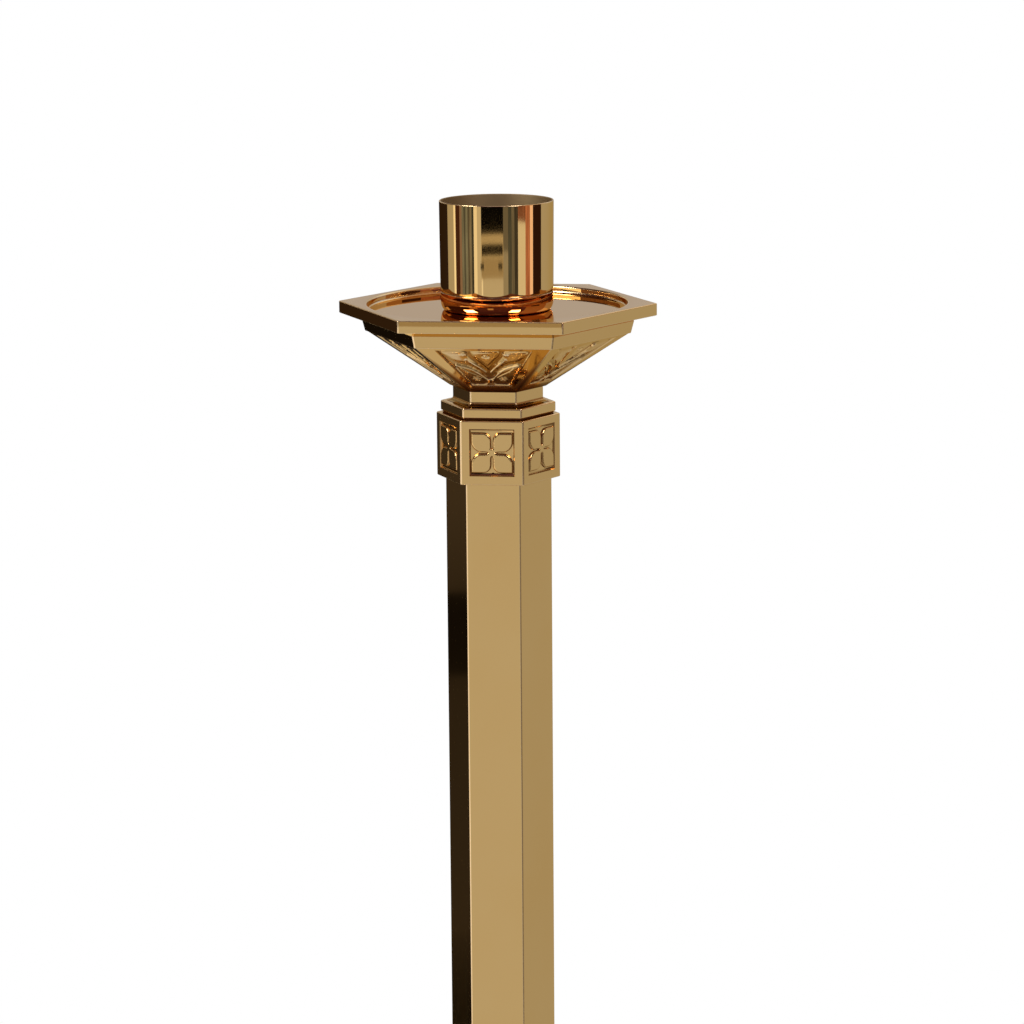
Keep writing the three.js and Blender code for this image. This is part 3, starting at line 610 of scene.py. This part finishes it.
def palmettePanel(size):
    low, high = size["low"], size["high"]
    scale = (high - low) / 50  # the sizes below are for a panel 50 mm high
    spacing, depth = 0.9 * scale, size["depth"]

    def place(points):
        return [(s * (size["halfLow"] + (size["halfHigh"] - size["halfLow"]) * t), low + (high - low) * t)
                for s, t in points]

    def bead(spot, radius, base, top):
        return {"kind": "bead", "spot": np.array(place([spot])[0]), "radius": radius * scale,
                "base": depth * base, "top": depth * top}

    def plate(top, crown, reach, points, sharp=(0,)):
        return {"kind": "plate", "line": smoothed(place(points), spacing, True, sharp),
                "top": depth * top, "edge": 0.8 * scale, "crown": depth * crown, "reach": reach * scale}

    def stroke(top, wide, points):
        return {"kind": "stroke", "line": smoothed(place(points), spacing, False),
                "top": depth * top, "wide": (wide[0] * scale, wide[1] * scale)}

    centre = plate(0.35, 0.5, 5, [
        (0, 0.4), (0.1, 0.5), (0.22, 0.66), (0.31, 0.82), (0.31, 0.95), (0.16, 0.985), (0, 0.99),
        (-0.16, 0.985), (-0.31, 0.95), (-0.31, 0.82), (-0.22, 0.66), (-0.1, 0.5)])
    pit = {"kind": "pit", "spot": np.array(place([(0, 0.83)])[0]), "radius": 3.0 * scale,
           "deep": depth * 0.5}
    berry = bead((0, 0.825), 1.5 * scale, 0.45, 0.4)
    sideLobe = plate(0.35, 0.6, 5, [
        (0.14, 0.42), (0.32, 0.47), (0.56, 0.6), (0.8, 0.66), (0.92, 0.78), (0.93, 0.94), (0.6, 0.965),
        (0.42, 0.93), (0.4, 0.8), (0.27, 0.6)])
    slantRidge = stroke(1.05, (0.7, 1.15), [(0.07, 0.39), (0.2, 0.5), (0.33, 0.6), (0.45, 0.71)])
    earInside = plate(0.22, 0.12, 4, [
        (0.1, 0.1), (0.25, 0.04), (0.86, 0.03), (0.9, 0.3), (0.86, 0.5), (0.52, 0.42), (0.12, 0.24)], (2, 4))
    earRim = stroke(1.0, (0.75, 0.95), [
        (0.0, 0.175), (0.13, 0.19), (0.31, 0.33), (0.52, 0.47), (0.7, 0.53), (0.86, 0.57)])
    earFoot = stroke(0.95, (0.75, 0.9), [
        (0.9, 0.5), (0.9, 0.28), (0.88, 0.03), (0.55, 0.02), (0.25, 0.025), (0.11, 0.07), (0.1, 0.15)])
    vein = stroke(0.7, (0.5, 0.6), [(0.3, 0.22), (0.5, 0.31), (0.64, 0.37), (0.76, 0.46)])
    shapes = [centre, pit, berry]
    knobs = [bead((0.47, 0.87), 2.2, 0.5, 0.75), bead((0.48, 0.735), 1.7, 0.5, 0.65)]
    buds = [bead((0.52, 0.17), 1.4, 0.4, 0.45), bead((0.66, 0.36), 1.0, 0.3, 0.4)]
    for k in range(6):
        turn = k * sixth
        buds.append(bead((0.52 + 0.115 * math.cos(turn), 0.17 + 0.05 * math.sin(turn)), 1.1, 0.25, 0.42))
    for shape in (sideLobe, slantRidge, earInside, earRim, earFoot, vein, *knobs, *buds):
        shapes += mirroredPair(shape)
    outline = np.array(place([(-1, 0), (1, 0), (1, 1), (-1, 1)]))
    # grooves, the lower part and the foot strip get painted shade, the raised tops a painted highlight
    return {"outline": outline, "depth": depth, "wall": 0.7 * scale, "grid": 1.0 * scale,
            "shapes": shapes, "darkWalls": False, "grooves": 0.4, "shade": 1.8,
            "shadeTo": low + 0.55 * (high - low), "footStrip": 1.5,
            "dark": 1.0, "brightTo": 0.45, "bright": 0.8}


# castings

def hexCorner(corner, height, rounding=0.0, arris=1.2, patinaAndShade=0.0):  # sizes across are radii to the corners
    return (corner * flatPerCorner, height, rounding, arris, patinaAndShade)


def roundCorner(radius, height, rounding=0.0, patinaAndShade=0.0):
    return (radius, height, rounding, radius, patinaAndShade)


rodBore = 6.5
collarSize = {
    "steps": 3, "corner": 45.0, "bore": 38.9, "height": 46.5, "shoulder": 6.0, "edge": 0.9,
    "panel": {"halfWidth": 45.0 / 2 - 6.3, "low": 5.5, "high": 46.5 - 6.8, "depth": 1.3},
}


def collarCorners(size):
    roof = size["height"] - size["shoulder"]
    return [
        hexCorner(size["bore"], 0, 0.3, 0.5),
        hexCorner(size["corner"], 0, size["edge"], 1.8),
        hexCorner(size["corner"], size["height"], size["edge"], 1.8),
        roundCorner(rodBore, size["height"]),
        roundCorner(rodBore, roof),
        hexCorner(size["bore"], roof, 0, 0.5),
    ]


collarSize["corners"] = collarCorners(collarSize)
for name, node, over in (("upperCollar", "upper_collar", None), ("lowerCollar", "lower_collar", 46.5)):
    hexPiece(name, collarSize, castBrass, "stand", node, over,
             petalPanel(collarSize["panel"]), 1)


def flareCorners(size):
    rise, top = size["flareRise"], size["flareRise"] + size["bandHeight"]
    reach = (size["flareCorner"] - size["footCorner"]) * flatPerCorner
    wallCorner = size["wall"] / math.sin(math.atan2(rise, reach)) / flatPerCorner
    perRise = (size["flareCorner"] - size["footCorner"]) / rise
    inner = size["bandLow"] - size["wall"] / flatPerCorner
    return [
        # the foot corner carries the mark 2: a near-black painted shade
        hexCorner(size["footCorner"], 0, 0.4, 1.2, 2.0),
        hexCorner(size["flareCorner"], rise, 0.25),
        hexCorner(size["bandLow"], rise, size["edge"], 1.8),
        hexCorner(size["bandHigh"], top - size["lip"], 0.4, 1.8),
        hexCorner(size["bandHigh"] - size["lipReach"], top, 0, 1.8),
        hexCorner(inner, top, 0.3),
        hexCorner(inner, rise, 0.8),
        hexCorner(size["flareCorner"] - wallCorner, rise, 0.8),
        hexCorner(size["footCorner"] + perRise * size["floor"] - wallCorner, size["floor"]),
        roundCorner(rodBore, size["floor"]),
        roundCorner(rodBore, 0),
    ]


def flarePanel(size):
    length = math.hypot(size["flareRise"], (size["flareCorner"] - size["footCorner"]) * flatPerCorner)

    def halfFace(v):
        return (size["footCorner"] + (size["flareCorner"] - size["footCorner"]) * v / length) / 2

    low, high = size["panelStart"], length - size["panelEnd"]
    return palmettePanel({
        "low": low, "high": high, "depth": size["depth"],
        "halfLow": halfFace(low) - size["narrowBorder"], "halfHigh": halfFace(high) - size["wideBorder"],
    })


capitalSize = {
    "steps": 3, "footCorner": 34.9, "flareCorner": 95.0, "flareRise": 38.8,
    "bandLow": 96.4, "bandHigh": 98.7, "bandHeight": 12.6, "lip": 3.9, "lipReach": 1.2,
    "wall": 4.5, "floor": 6.0, "edge": 0.8, "depth": 1.6,
    "panelStart": 9.0, "panelEnd": 3.0, "narrowBorder": 7.0, "wideBorder": 11.6,
}
skirtSize = {
    "steps": 3, "footCorner": 41.0, "flareCorner": 139.0, "flareRise": 58.0,
    "bandLow": 140.6, "bandHigh": 143.0, "bandHeight": 12.0, "lip": 0.9, "lipReach": 0.4,
    "wall": 4.5, "floor": 6.0, "edge": 0.9, "depth": 2.0,
    "panelStart": 17.0, "panelEnd": 6.0, "narrowBorder": 9.0, "wideBorder": 17.0,
}
for name, size, node, over in (("capital", capitalSize, "capital", None),
                               ("baseSkirt", skirtSize, "base_skirt", 70.0)):
    size["corners"] = flareCorners(size)
    hexPiece(name + "Casting", size, castBrass, "stand", node, over, flarePanel(size), 0)
print("stage 3: collars, capital and skirt made")


def coveCorners(foot, neck, rise, steps=8):
    spots = []
    for i in range(steps + 1):
        turn = math.pi / 2 * i / steps
        # the inside of the cove carries the mark 0.5: painted shade
        shade = 0.5 if 0 < i < steps else 0
        corner = neck + (foot - neck) * (1 - math.sin(turn))
        spots.append(hexCorner(corner, rise * (1 - math.cos(turn)), 0, 1.6, shade))
    return spots


def mouldingSize(corner, height):
    stepIn, stepHigh = 1.4, 1.3  # the narrow step under the moulding, painted dark as its shadow line
    return {"steps": 3, "corners": [
        roundCorner(rodBore, 0),
        # the step carries the mark 1.5: painted shade
        hexCorner(corner - stepIn, 0, 0, 1.2, 1.5),
        hexCorner(corner - stepIn, stepHigh, 0, 1.2, 1.5),
        hexCorner(corner, stepHigh, 0.9, 1.8),
        hexCorner(corner, stepHigh + height, 1.2, 1.8),
        roundCorner(rodBore, stepHigh + height),
    ]}


def neckSize(corner, height, rise, reach):
    return {"steps": 3, "corners": [
        roundCorner(rodBore, 0),
        *coveCorners(corner + reach / flatPerCorner, corner, rise),
        hexCorner(corner, height, 0.4, 1.6),
        roundCorner(rodBore, height),
    ]}


columnSize = {"steps": 3, "corners": [
    hexCorner(36.29, 0, 0, 0.4), hexCorner(38.6, 0, 0.3, 1.3), hexCorner(38.6, 827, 0.3, 1.3),
    hexCorner(36.29, 827, 0, 0.4),
]}
plinthSize = {"steps": 3, "corners": [
    hexCorner(159.23, 0), hexCorner(165, 0, 0.9, 1.2), hexCorner(165, 22, 1.2, 1.2),
    hexCorner(153, 22, 1.0, 1.2), hexCorner(153, 32, 1.2, 1.2), hexCorner(60, 32), hexCorner(60, 27),
    hexCorner(147.23, 27), hexCorner(147.23, 17), hexCorner(159.23, 17),
]}
hexPiece("columnTube", columnSize, drawnBrass, "stand", "column_tube")
for name, size, node, over in (
    ("capMoulding", mouldingSize(41.9, 7), "cap_moulding", None),
    ("capitalNeck", neckSize(32.9, 10.6, 3, 4), "capital_neck", None),
    ("baseMoulding", mouldingSize(50, 8.5), "base_moulding", 9.8),
    ("baseNeck", neckSize(41, 10, 3.5, 4.5), "base_neck", 10),
    ("basePlinth", plinthSize, "base_plinth", None),
):
    hexPiece(name, size, castBrass, "stand", node, over)
print("stage 4: column, mouldings, necks and plinth made")


# drip pan and candle socket

panSize = {"steps": 14, "below": -2.5, "corners": [
    roundCorner(6.5, 0, 0.2), hexCorner(84.9, 0), hexCorner(84.9, -2.5, 0.3), hexCorner(90.9, -2.5, 0.3),
    hexCorner(90.9, 0), hexCorner(115, 0, 0.7, 1.5), hexCorner(115, 8.8, 0.7, 1.5),
    roundCorner(93.49, 8.8, 1.3), roundCorner(93.49, 3.7, 1.8), roundCorner(6.5, 3.7, 0.3),
]}
hexPiece("dripPan", panSize, turnedBrass, "drip_pan", "drip_pan")

ringSize = {"steps": 12, "footRadius": 37.2, "radius": 40.5, "footHigh": 7.0, "high": 13.2}


def footCorners(size, steps=12):  # the ring's foot is a quarter round
    spots = []
    for i in range(steps + 1):
        turn = math.pi / 2 * i / steps
        radius = size["footRadius"] + (size["radius"] - size["footRadius"]) * math.sin(turn)
        spots.append(roundCorner(radius, size["footHigh"] * (1 - math.cos(turn))))
    return spots


ringSize["corners"] = [
    roundCorner(11.3, 1.75), roundCorner(26.3, 1.75), roundCorner(26.3, 0), *footCorners(ringSize),
    roundCorner(ringSize["radius"], ringSize["high"], 0.35), roundCorner(38.8, ringSize["high"]),
    roundCorner(38.8, 17.2, 0.4), roundCorner(15.3, 17.2, 0.4), roundCorner(15.3, 13.25),
    roundCorner(11.3, 13.25),
]
tubeSize = {"steps": 12, "corners": [
    # the inner corners carry the mark 1: a dull inside with painted shade
    roundCorner(39.1, 0, 0, 1.0), roundCorner(40.5, 0, 0.35), roundCorner(41.0, 64.7, 0.5),
    roundCorner(39.6, 64.7, 0.5, 1.0),
]}
hexPiece("socketBase", ringSize, ringBrass, "socket", "socket_base")
hexPiece("socketTube", tubeSize, tubeBrass, "socket", "socket_tube")
print("stage 5: drip pan and candle socket made")


# tie rod with a thread at each end, felt, and the finishes of the pieces kept as they are

rodSize = {"steps": 4, "threads": ((8.9, 34.0), (987.5, 1054.0)), "low": 8.2, "high": 1055.05,
           "pitch": 1.75, "ridge": 0.86, "radius": 6.0}


def threadTree():
    tree, given, result = newTree("threadedEnds", [
        ("Low", "Float"), ("Length", "Float"), ("Turns", "Float"), ("Middle", "Float"), ("Ridge", "Float"),
        ("Low 2", "Float"), ("Length 2", "Float"), ("Turns 2", "Float"), ("Finish", "Material")])
    both = addNode(tree, "GeometryNodeJoinGeometry")
    for mark in ("", " 2"):
        spiral = addNode(tree, "GeometryNodeCurveSpiral", {
            "Resolution": 20, "Rotations": given["Turns" + mark], "Start Radius": given["Middle"],
            "End Radius": given["Middle"], "Height": given["Length" + mark]})
        upright = addNode(tree, "GeometryNodeSetCurveNormal", mode="Z_UP")
        section = addNode(tree, "GeometryNodeCurvePrimitiveCircle",
                          {"Resolution": 4, "Radius": given["Ridge"]})
        ridge = addNode(tree, "GeometryNodeCurveToMesh",
                        {"Profile Curve": section.outputs[0], "Fill Caps": True})
        height = addNode(tree, "ShaderNodeCombineXYZ", {2: given["Low" + mark]})
        lift = addNode(tree, "GeometryNodeTransform", {"Translation": height.outputs[0]})
        chain(tree, spiral, upright, ridge, lift, both)
    join(tree, given["Geometry"], both.inputs[0])
    real = addNode(tree, "GeometryNodeRealizeInstances")
    finish = addNode(tree, "GeometryNodeSetMaterial", {"Material": given["Finish"]})
    chain(tree, both, real, finish)
    join(tree, finish.outputs[0], result["Geometry"])
    return tree


core = rodSize["radius"] - rodSize["ridge"]
(_, high1), (low2, _) = rodSize["threads"]
rodCorners = [
    roundCorner(0.01, rodSize["low"]), roundCorner(core, rodSize["low"], 0.4), roundCorner(core, high1),
    roundCorner(rodSize["radius"], high1 + 1), roundCorner(rodSize["radius"], low2 - 1),
    roundCorner(core, low2), roundCorner(core, rodSize["high"], 0.6), roundCorner(0.01, rodSize["high"]),
]
rodMesh = sixthMesh("tieRodSixth", rodCorners, rodSize["steps"])
rodMesh = turnedSixTimes("tieRodCore", rodMesh, brightSteel, weldWidth * 6)
threadValues = {"Middle": core * mm, "Ridge": rodSize["ridge"] * mm, "Finish": brightSteel}
for mark, (low, high) in zip(("", " 2"), rodSize["threads"]):
    threadValues["Low" + mark] = low * mm
    threadValues["Length" + mark] = (high - low) * mm
    threadValues["Turns" + mark] = (high - low) / rodSize["pitch"]
rodMesh = grown("tieRod", rodMesh, threadTree(), threadValues)
addPiece("tieRod", rodMesh, "stand", "tie_rod")

feltSize = {"steps": 10, "corners": [
    roundCorner(24, 0, 0.6), hexCorner(161, 0, 0.9, 3.0), hexCorner(161, 3, 0.9, 3.0),
    roundCorner(24, 3, 0.6),
]}
felt = hexPiece("feltPad", feltSize, greenFelt, "stand", "felt_pad")

for finish, nodes in (
    (castBrass, ("lower_column_plug", "upper_column_plug", "socket_bush")),
    (greyIron, ("ballast_weight",)),
    (brownFibre, ("socket_washer",)),
    (brightSteel, ("bottom_plate", "plate_screw_1", "plate_screw_2", "plate_screw_3", "bottom_nut",
                   "bottom_washer", "column_nut", "column_washer")),
):
    for node in nodes:
        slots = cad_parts[node].data.materials
        for i in range(len(slots)):
            slots[i] = finish
print("stage 6: tie rod, felt and kept pieces finished")


# stage: pale floor, white surroundings, reflection cards and soft lamps

stageSize = {  # metres
    "floorRadius": 1.4,
    "floorLevel": -0.0002,
    "floorColour": (0.90, 0.89, 0.87),
    "fadeFrom": 0.5,
    "fadeTo": 1.2,
    "worldLight": 0.72,
    "ceilingReach": 2.8,
    "cameraBearing": -83.1,  # degrees
    "lampReach": 2.6,
    "lampAim": 0.8,
}


def whiteForEye(tree):  # 1 where the camera, a mirror or a glass looks
    path = addNode(tree, "ShaderNodeLightPath")
    first = added(tree, path.outputs["Is Camera Ray"], path.outputs["Is Glossy Ray"], "MAXIMUM")
    return added(tree, first, path.outputs["Is Transmission Ray"], "MAXIMUM")


def makeWorld():
    world = bpy.data.worlds.new("softRoom")
    world.use_nodes = True
    tree = world.node_tree
    tree.nodes.clear()
    light = addNode(tree, "ShaderNodeBackground",
                    {"Color": (1, 0.985, 0.96, 1), "Strength": stageSize["worldLight"]})
    white = addNode(tree, "ShaderNodeBackground", {"Color": (1, 1, 1, 1), "Strength": 1.0})
    mix = addNode(tree, "ShaderNodeMixShader",
                  {0: whiteForEye(tree), 1: light.outputs[0], 2: white.outputs[0]})
    addNode(tree, "ShaderNodeOutputWorld", {0: mix.outputs[0]})
    bpy.context.scene.world = world


def stageDisc(name, radius, level, finish):
    bm = bmesh.new()
    bmesh.ops.create_circle(bm, cap_ends=True, segments=96, radius=radius)
    bmesh.ops.translate(bm, vec=(0, 0, level), verts=bm.verts)
    disc = linked(name, meshFrom(bm, name))
    disc.data.materials.append(finish)
    return disc


def makeFloor():
    finish, tree, shader = newFinish("paleFloor")
    setInputs(tree, shader, {"Base Color": (*stageSize["floorColour"], 1), "Roughness": 0.9,
                             "Specular IOR Level": 0.1})
    length = addNode(tree, "ShaderNodeVectorMath", {0: objectPlace(tree)}, operation="LENGTH")
    fade = ranged(tree, length.outputs["Value"], stageSize["fadeFrom"], stageSize["fadeTo"], 0, 1)
    white = addNode(tree, "ShaderNodeEmission", {"Color": (1, 1, 1, 1), "Strength": 1.0})
    seen = added(tree, fade, whiteForEye(tree), "MULTIPLY")
    mix = addNode(tree, "ShaderNodeMixShader", {0: seen, 1: shader.outputs[0], 2: white.outputs[0]})
    join(tree, mix.outputs[0], tree.nodes["Material Output"].inputs[0])
    stageDisc("floor", stageSize["floorRadius"], stageSize["floorLevel"], finish)


def cardPlace(bearing, radius, height):  # bearing to the right of the camera, seen from the candlestick
    angle = math.radians(stageSize["cameraBearing"] + bearing)
    return (radius * math.cos(angle), radius * math.sin(angle), height)


def cardFinish(name, colour, strength, grain=0.0):  # one strength, or those at the low and high edges
    finish = bpy.data.materials.new(name)
    finish.use_nodes = True
    tree = finish.node_tree
    tree.nodes.clear()
    place = addNode(tree, "ShaderNodeTexCoord").outputs["Generated"]
    apart = addNode(tree, "ShaderNodeSeparateXYZ", {0: place})
    low, high = strength if isinstance(strength, tuple) else (strength, strength)
    level = ranged(tree, apart.outputs[2], 0, 1, low, high)
    if grain:
        spread = noiseAt(tree, objectPlace(tree), 14.0, 3.0, 0.6)
        level = added(tree, level, ranged(tree, spread, 0.3, 0.7, 1 - grain, 1 + grain), "MULTIPLY")
    light = addNode(tree, "ShaderNodeEmission", {"Color": (*colour, 1), "Strength": level})
    addNode(tree, "ShaderNodeOutputMaterial", {0: light.outputs[0]})
    finish.cycles.emission_sampling = "NONE"
    return finish


def onlyMirrored(card):
    card.visible_camera = False
    card.visible_shadow = False
    card.visible_diffuse = False


def reflectionCard(name, start, end, low, high, colour, strength, grain=0.0, radius=3.6, reach=0.0):
    bm = bmesh.new()
    steps = max(2, round((end - start) / 4))
    columns = []
    for i in range(steps + 1):
        bearing = start + (end - start) * i / steps
        spots = (cardPlace(bearing, radius, low), cardPlace(bearing, radius - reach, high))
        columns.append([bm.verts.new(spot) for spot in spots])
    for one, two in zip(columns, columns[1:]):
        bm.faces.new((one[0], one[1], two[1], two[0]))
    card = linked(name, meshFrom(bm, name))
    card.data.materials.append(cardFinish(name, colour, strength, grain))
    onlyMirrored(card)


tan, dusk, cool, rust = (1.0, 0.98, 0.93), (1.0, 0.86, 0.9), (0.86, 0.97, 1.0), (1.0, 0.42, 0.28)
rose, wood, redRose = (1.0, 0.72, 0.66), (1.0, 0.62, 0.38), (1.0, 0.44, 0.7)
split = 0.5  # the tube shows what stands above this level, the pieces under it what stands below
bandTop = 1.25
ceiling = 4.4
nearer = 3.55  # radius of a card that stands in front of the others
tubeBands = [  # name, bearings from and to, colour, strength, grain
    ("leftWall", -116, -96, tan, 0.5),
    ("leftLine", -96, -90.5, tan, 1.2),
    ("leftPost", -90.5, -79.5, rust, 0.07),
    ("leftRose", -79.5, -74, rose, 0.3),
    ("leftRoom1", -74, -69, cool, 0.24, 0.5),
    ("leftRoom2", -69, -65, cool, 0.13, 0.5),
    ("leftRoom3", -65, -60, cool, 0.27, 0.5),
    ("leftRoom4", -60, -56, tan, 0.12, 0.5),
    ("leftRoom5", -56, -51, tan, 0.24, 0.5),
    ("leftRoom6", -51, -46.5, cool, 0.07, 0.5),
    ("creamLine", -46.5, -39.5, tan, 1.05),
    ("creamWall", -39.5, -31, tan, 0.66),
    ("rightRoom1", 23, 30, cool, 0.1, 0.5),
    ("rightRoom2", 30, 36, tan, 0.17, 0.5),
    ("rightRoom3", 36, 43.5, tan, 0.06, 0.5),
    ("roseStreak", 60, 70.5, rust, 0.5, 0.6),
    ("rosePanel", 70.5, 78, rose, 1.1),
    ("rightFlag", 78, 101, rust, 0.03),
]
cards = [(name, start, end, split, bandTop, *rest) for name, start, end, *rest in tubeBands]
cards += [  # name, bearings from and to, heights from and to, colour, strength, grain, radius
    ("leftFlagFoot", -183, -116, -0.8, -0.6, dusk, (0.004, 0.03)),
    ("leftFlagLow", -183, -116, -0.6, -0.12, dusk, (0.038, 0.03)),
    ("leftFlagDark", -183, -116, -0.12, 0.03, dusk, (0.009, 0.007)),
    ("leftFlag", -183, -116, 0.03, 0.2, dusk, (0.036, 0.056)),
    ("leftFlagHigh", -183, -116, 0.2, 0.45, dusk, (0.056, 0.048)),
    ("leftFlagTop", -183, -116, 0.45, 1.05, (1.0, 0.64, 0.54), (0.034, 0.026)),
    ("leftBright", -116, -28, -2.0, split, (1.0, 0.93, 0.85), 1.05),
    ("frontLow", -28, 13, -2.0, 0.537, tan, 0.6),
    ("frontGlow", -31, 13, 0.537, 0.575, (1.0, 0.84, 0.6), 0.4),
    ("frontGlowHigh", -31, 13, 0.575, 0.618, (1.0, 0.88, 0.66), 0.56),
    ("frontHigh", -31, 13, 0.618, bandTop, tan, 0.004),
    ("rightDark", 13, 101, -2.0, split, (1.0, 0.85, 0.7), 0.2),
    ("frontGold", 13, 23, split, 0.588, tan, 0.36),
    ("frontGoldHigh", 13, 23, 0.588, bandTop, tan, 0.17),
    ("goldPanel", 43.5, 60, split, 0.646, tan, 0.8),
    ("goldPanelTop", 43.5, 60, 0.646, bandTop, rust, 0.25, 0.5),
    ("rightWall", 101, 177, -2.0, bandTop, tan, 0.49),
    ("backWall", 120, 215, bandTop, 2.6, (0.63, 0.7, 1.0), 0.9, 0.0, nearer),
    ("frontBar", -30, 12, 0.588, 0.607, tan, 0.0, 0.0, nearer),
    ("frontSpotLeft", -33, -26, 0.563, 0.574, tan, 0.0, 0.0, nearer),
    ("frontSpotRight", 3, 11, 0.562, 0.573, tan, 0.0, 0.0, nearer),
    ("highLeft", -180, -60, bandTop, ceiling, rust, 0.05),
    ("highLeftGlow", -145, -82, 1.3, 2.0, (1.0, 0.56, 0.36), 0.24, 0.3, nearer),
    ("highLeftLine", -142, -126, 2.2, 2.9, tan, 0.9, 0.0, nearer),
    ("highWindow", -82, -53, 1.3, 1.9, tan, 2.0, 0.0, nearer),
    ("highLamp", -60, -41, bandTop, 2.6, wood, 0.6),
    ("highLampTop", -60, -41, 2.6, ceiling, rust, 0.06),
    ("highFront", -41, 62, bandTop, 2.9, redRose, 0.13),
    ("highFrontLine", -20, -8, 2.2, 2.9, tan, 0.72, 0.0, nearer),
    ("highFrontTop", -41, 62, 2.9, ceiling, redRose, 0.1),
    ("highRight", 62, 120, bandTop, ceiling, wood, 0.42),
    ("highRightGlow", 54, 74, 1.3, 2.0, (1.0, 0.42, 0.34), 0.4, 0.3, nearer),
    ("highRightDark", 74, 97, 1.3, 2.0, rust, 0.06, 0.0, nearer),
]
for card in cards:
    reflectionCard(*card)
for name, start, end, colour, strength in (  # ceilings over the cards, open over the candlestick itself
    ("ceilingFront", -180, 62, redRose, 0.07), ("ceilingRight", 62, 180, wood, 0.45),
):
    reflectionCard(name, start, end, ceiling, ceiling + 0.02, colour, strength,
                   reach=stageSize["ceilingReach"])
for name, radius, level, colour, strength in (  # floors that only the brass shows
    ("mirroredFloor", 1.4, -0.0001, (1.0, 0.93, 0.8), 0.45),
    ("mirroredFloorNear", 0.7, -0.00005, (1.0, 0.97, 0.95), 0.64),
):
    onlyMirrored(stageDisc(name, radius, level, cardFinish(name, colour, strength)))

for name, bearing, height, across, tall, power in (
    ("leftLamp", -66, 3.1, 1.3, 1.1, 85.0),
    ("rightLamp", 42, 3.1, 1.1, 1.0, 55.0),
    ("topLamp", 150, 3.6, 1.6, 1.6, 30.0),
):
    data = bpy.data.lights.new(name, "AREA")
    data.shape = "RECTANGLE"
    data.size, data.size_y, data.energy = across, tall, power
    data.color = (1.0, 0.97, 0.92)
    lamp = linked(name, data)
    lamp.location = cardPlace(bearing, stageSize["lampReach"], height)
    lamp.visible_glossy = name != "topLamp"  # its glint along the pan's edge isn't in the photograph
    aim = Vector((0, 0, stageSize["lampAim"])) - lamp.location
    lamp.rotation_euler = aim.to_track_quat("-Z", "Y").to_euler()

makeWorld()
makeFloor()
print("stage 7: stage set")


# camera, from the photograph's perspective

cameraSize = {"pitch": 11.348, "yaw": -0.216, "roll": -0.448, "side": 6.945, "lens": 124.21,
              "place": (0.3039, -2.495, 1.3963)}


def makeCamera(size):
    pitch, yaw, roll = (math.radians(size[key]) for key in ("pitch", "yaw", "roll"))
    turnZ = Matrix(((math.cos(yaw), math.sin(yaw), 0), (-math.sin(yaw), math.cos(yaw), 0), (0, 0, 1)))
    turnX = Matrix(((1, 0, 0), (0, math.cos(pitch), -math.sin(pitch)),
                    (0, math.sin(pitch), math.cos(pitch))))
    turnY = Matrix(((math.cos(roll), 0, math.sin(roll)), (0, 1, 0),
                    (-math.sin(roll), 0, math.cos(roll))))
    right, ahead, up = turnY @ turnX @ turnZ
    axes = Matrix((right, up, -ahead)).transposed()
    data = bpy.data.cameras.new("camera")
    data.lens = size["lens"]
    data.sensor_width = 36.0
    data.clip_end = 60.0
    camera = linked("camera", data)
    turn = Matrix.Rotation(math.radians(size["side"]), 3, "Z")
    camera.matrix_world = Matrix.Translation(size["place"]) @ (turn @ axes).to_4x4()
    bpy.context.scene.camera = camera


makeCamera(cameraSize)
bpy.context.scene.view_settings.view_transform = "Standard"
print("stage 8: camera set")
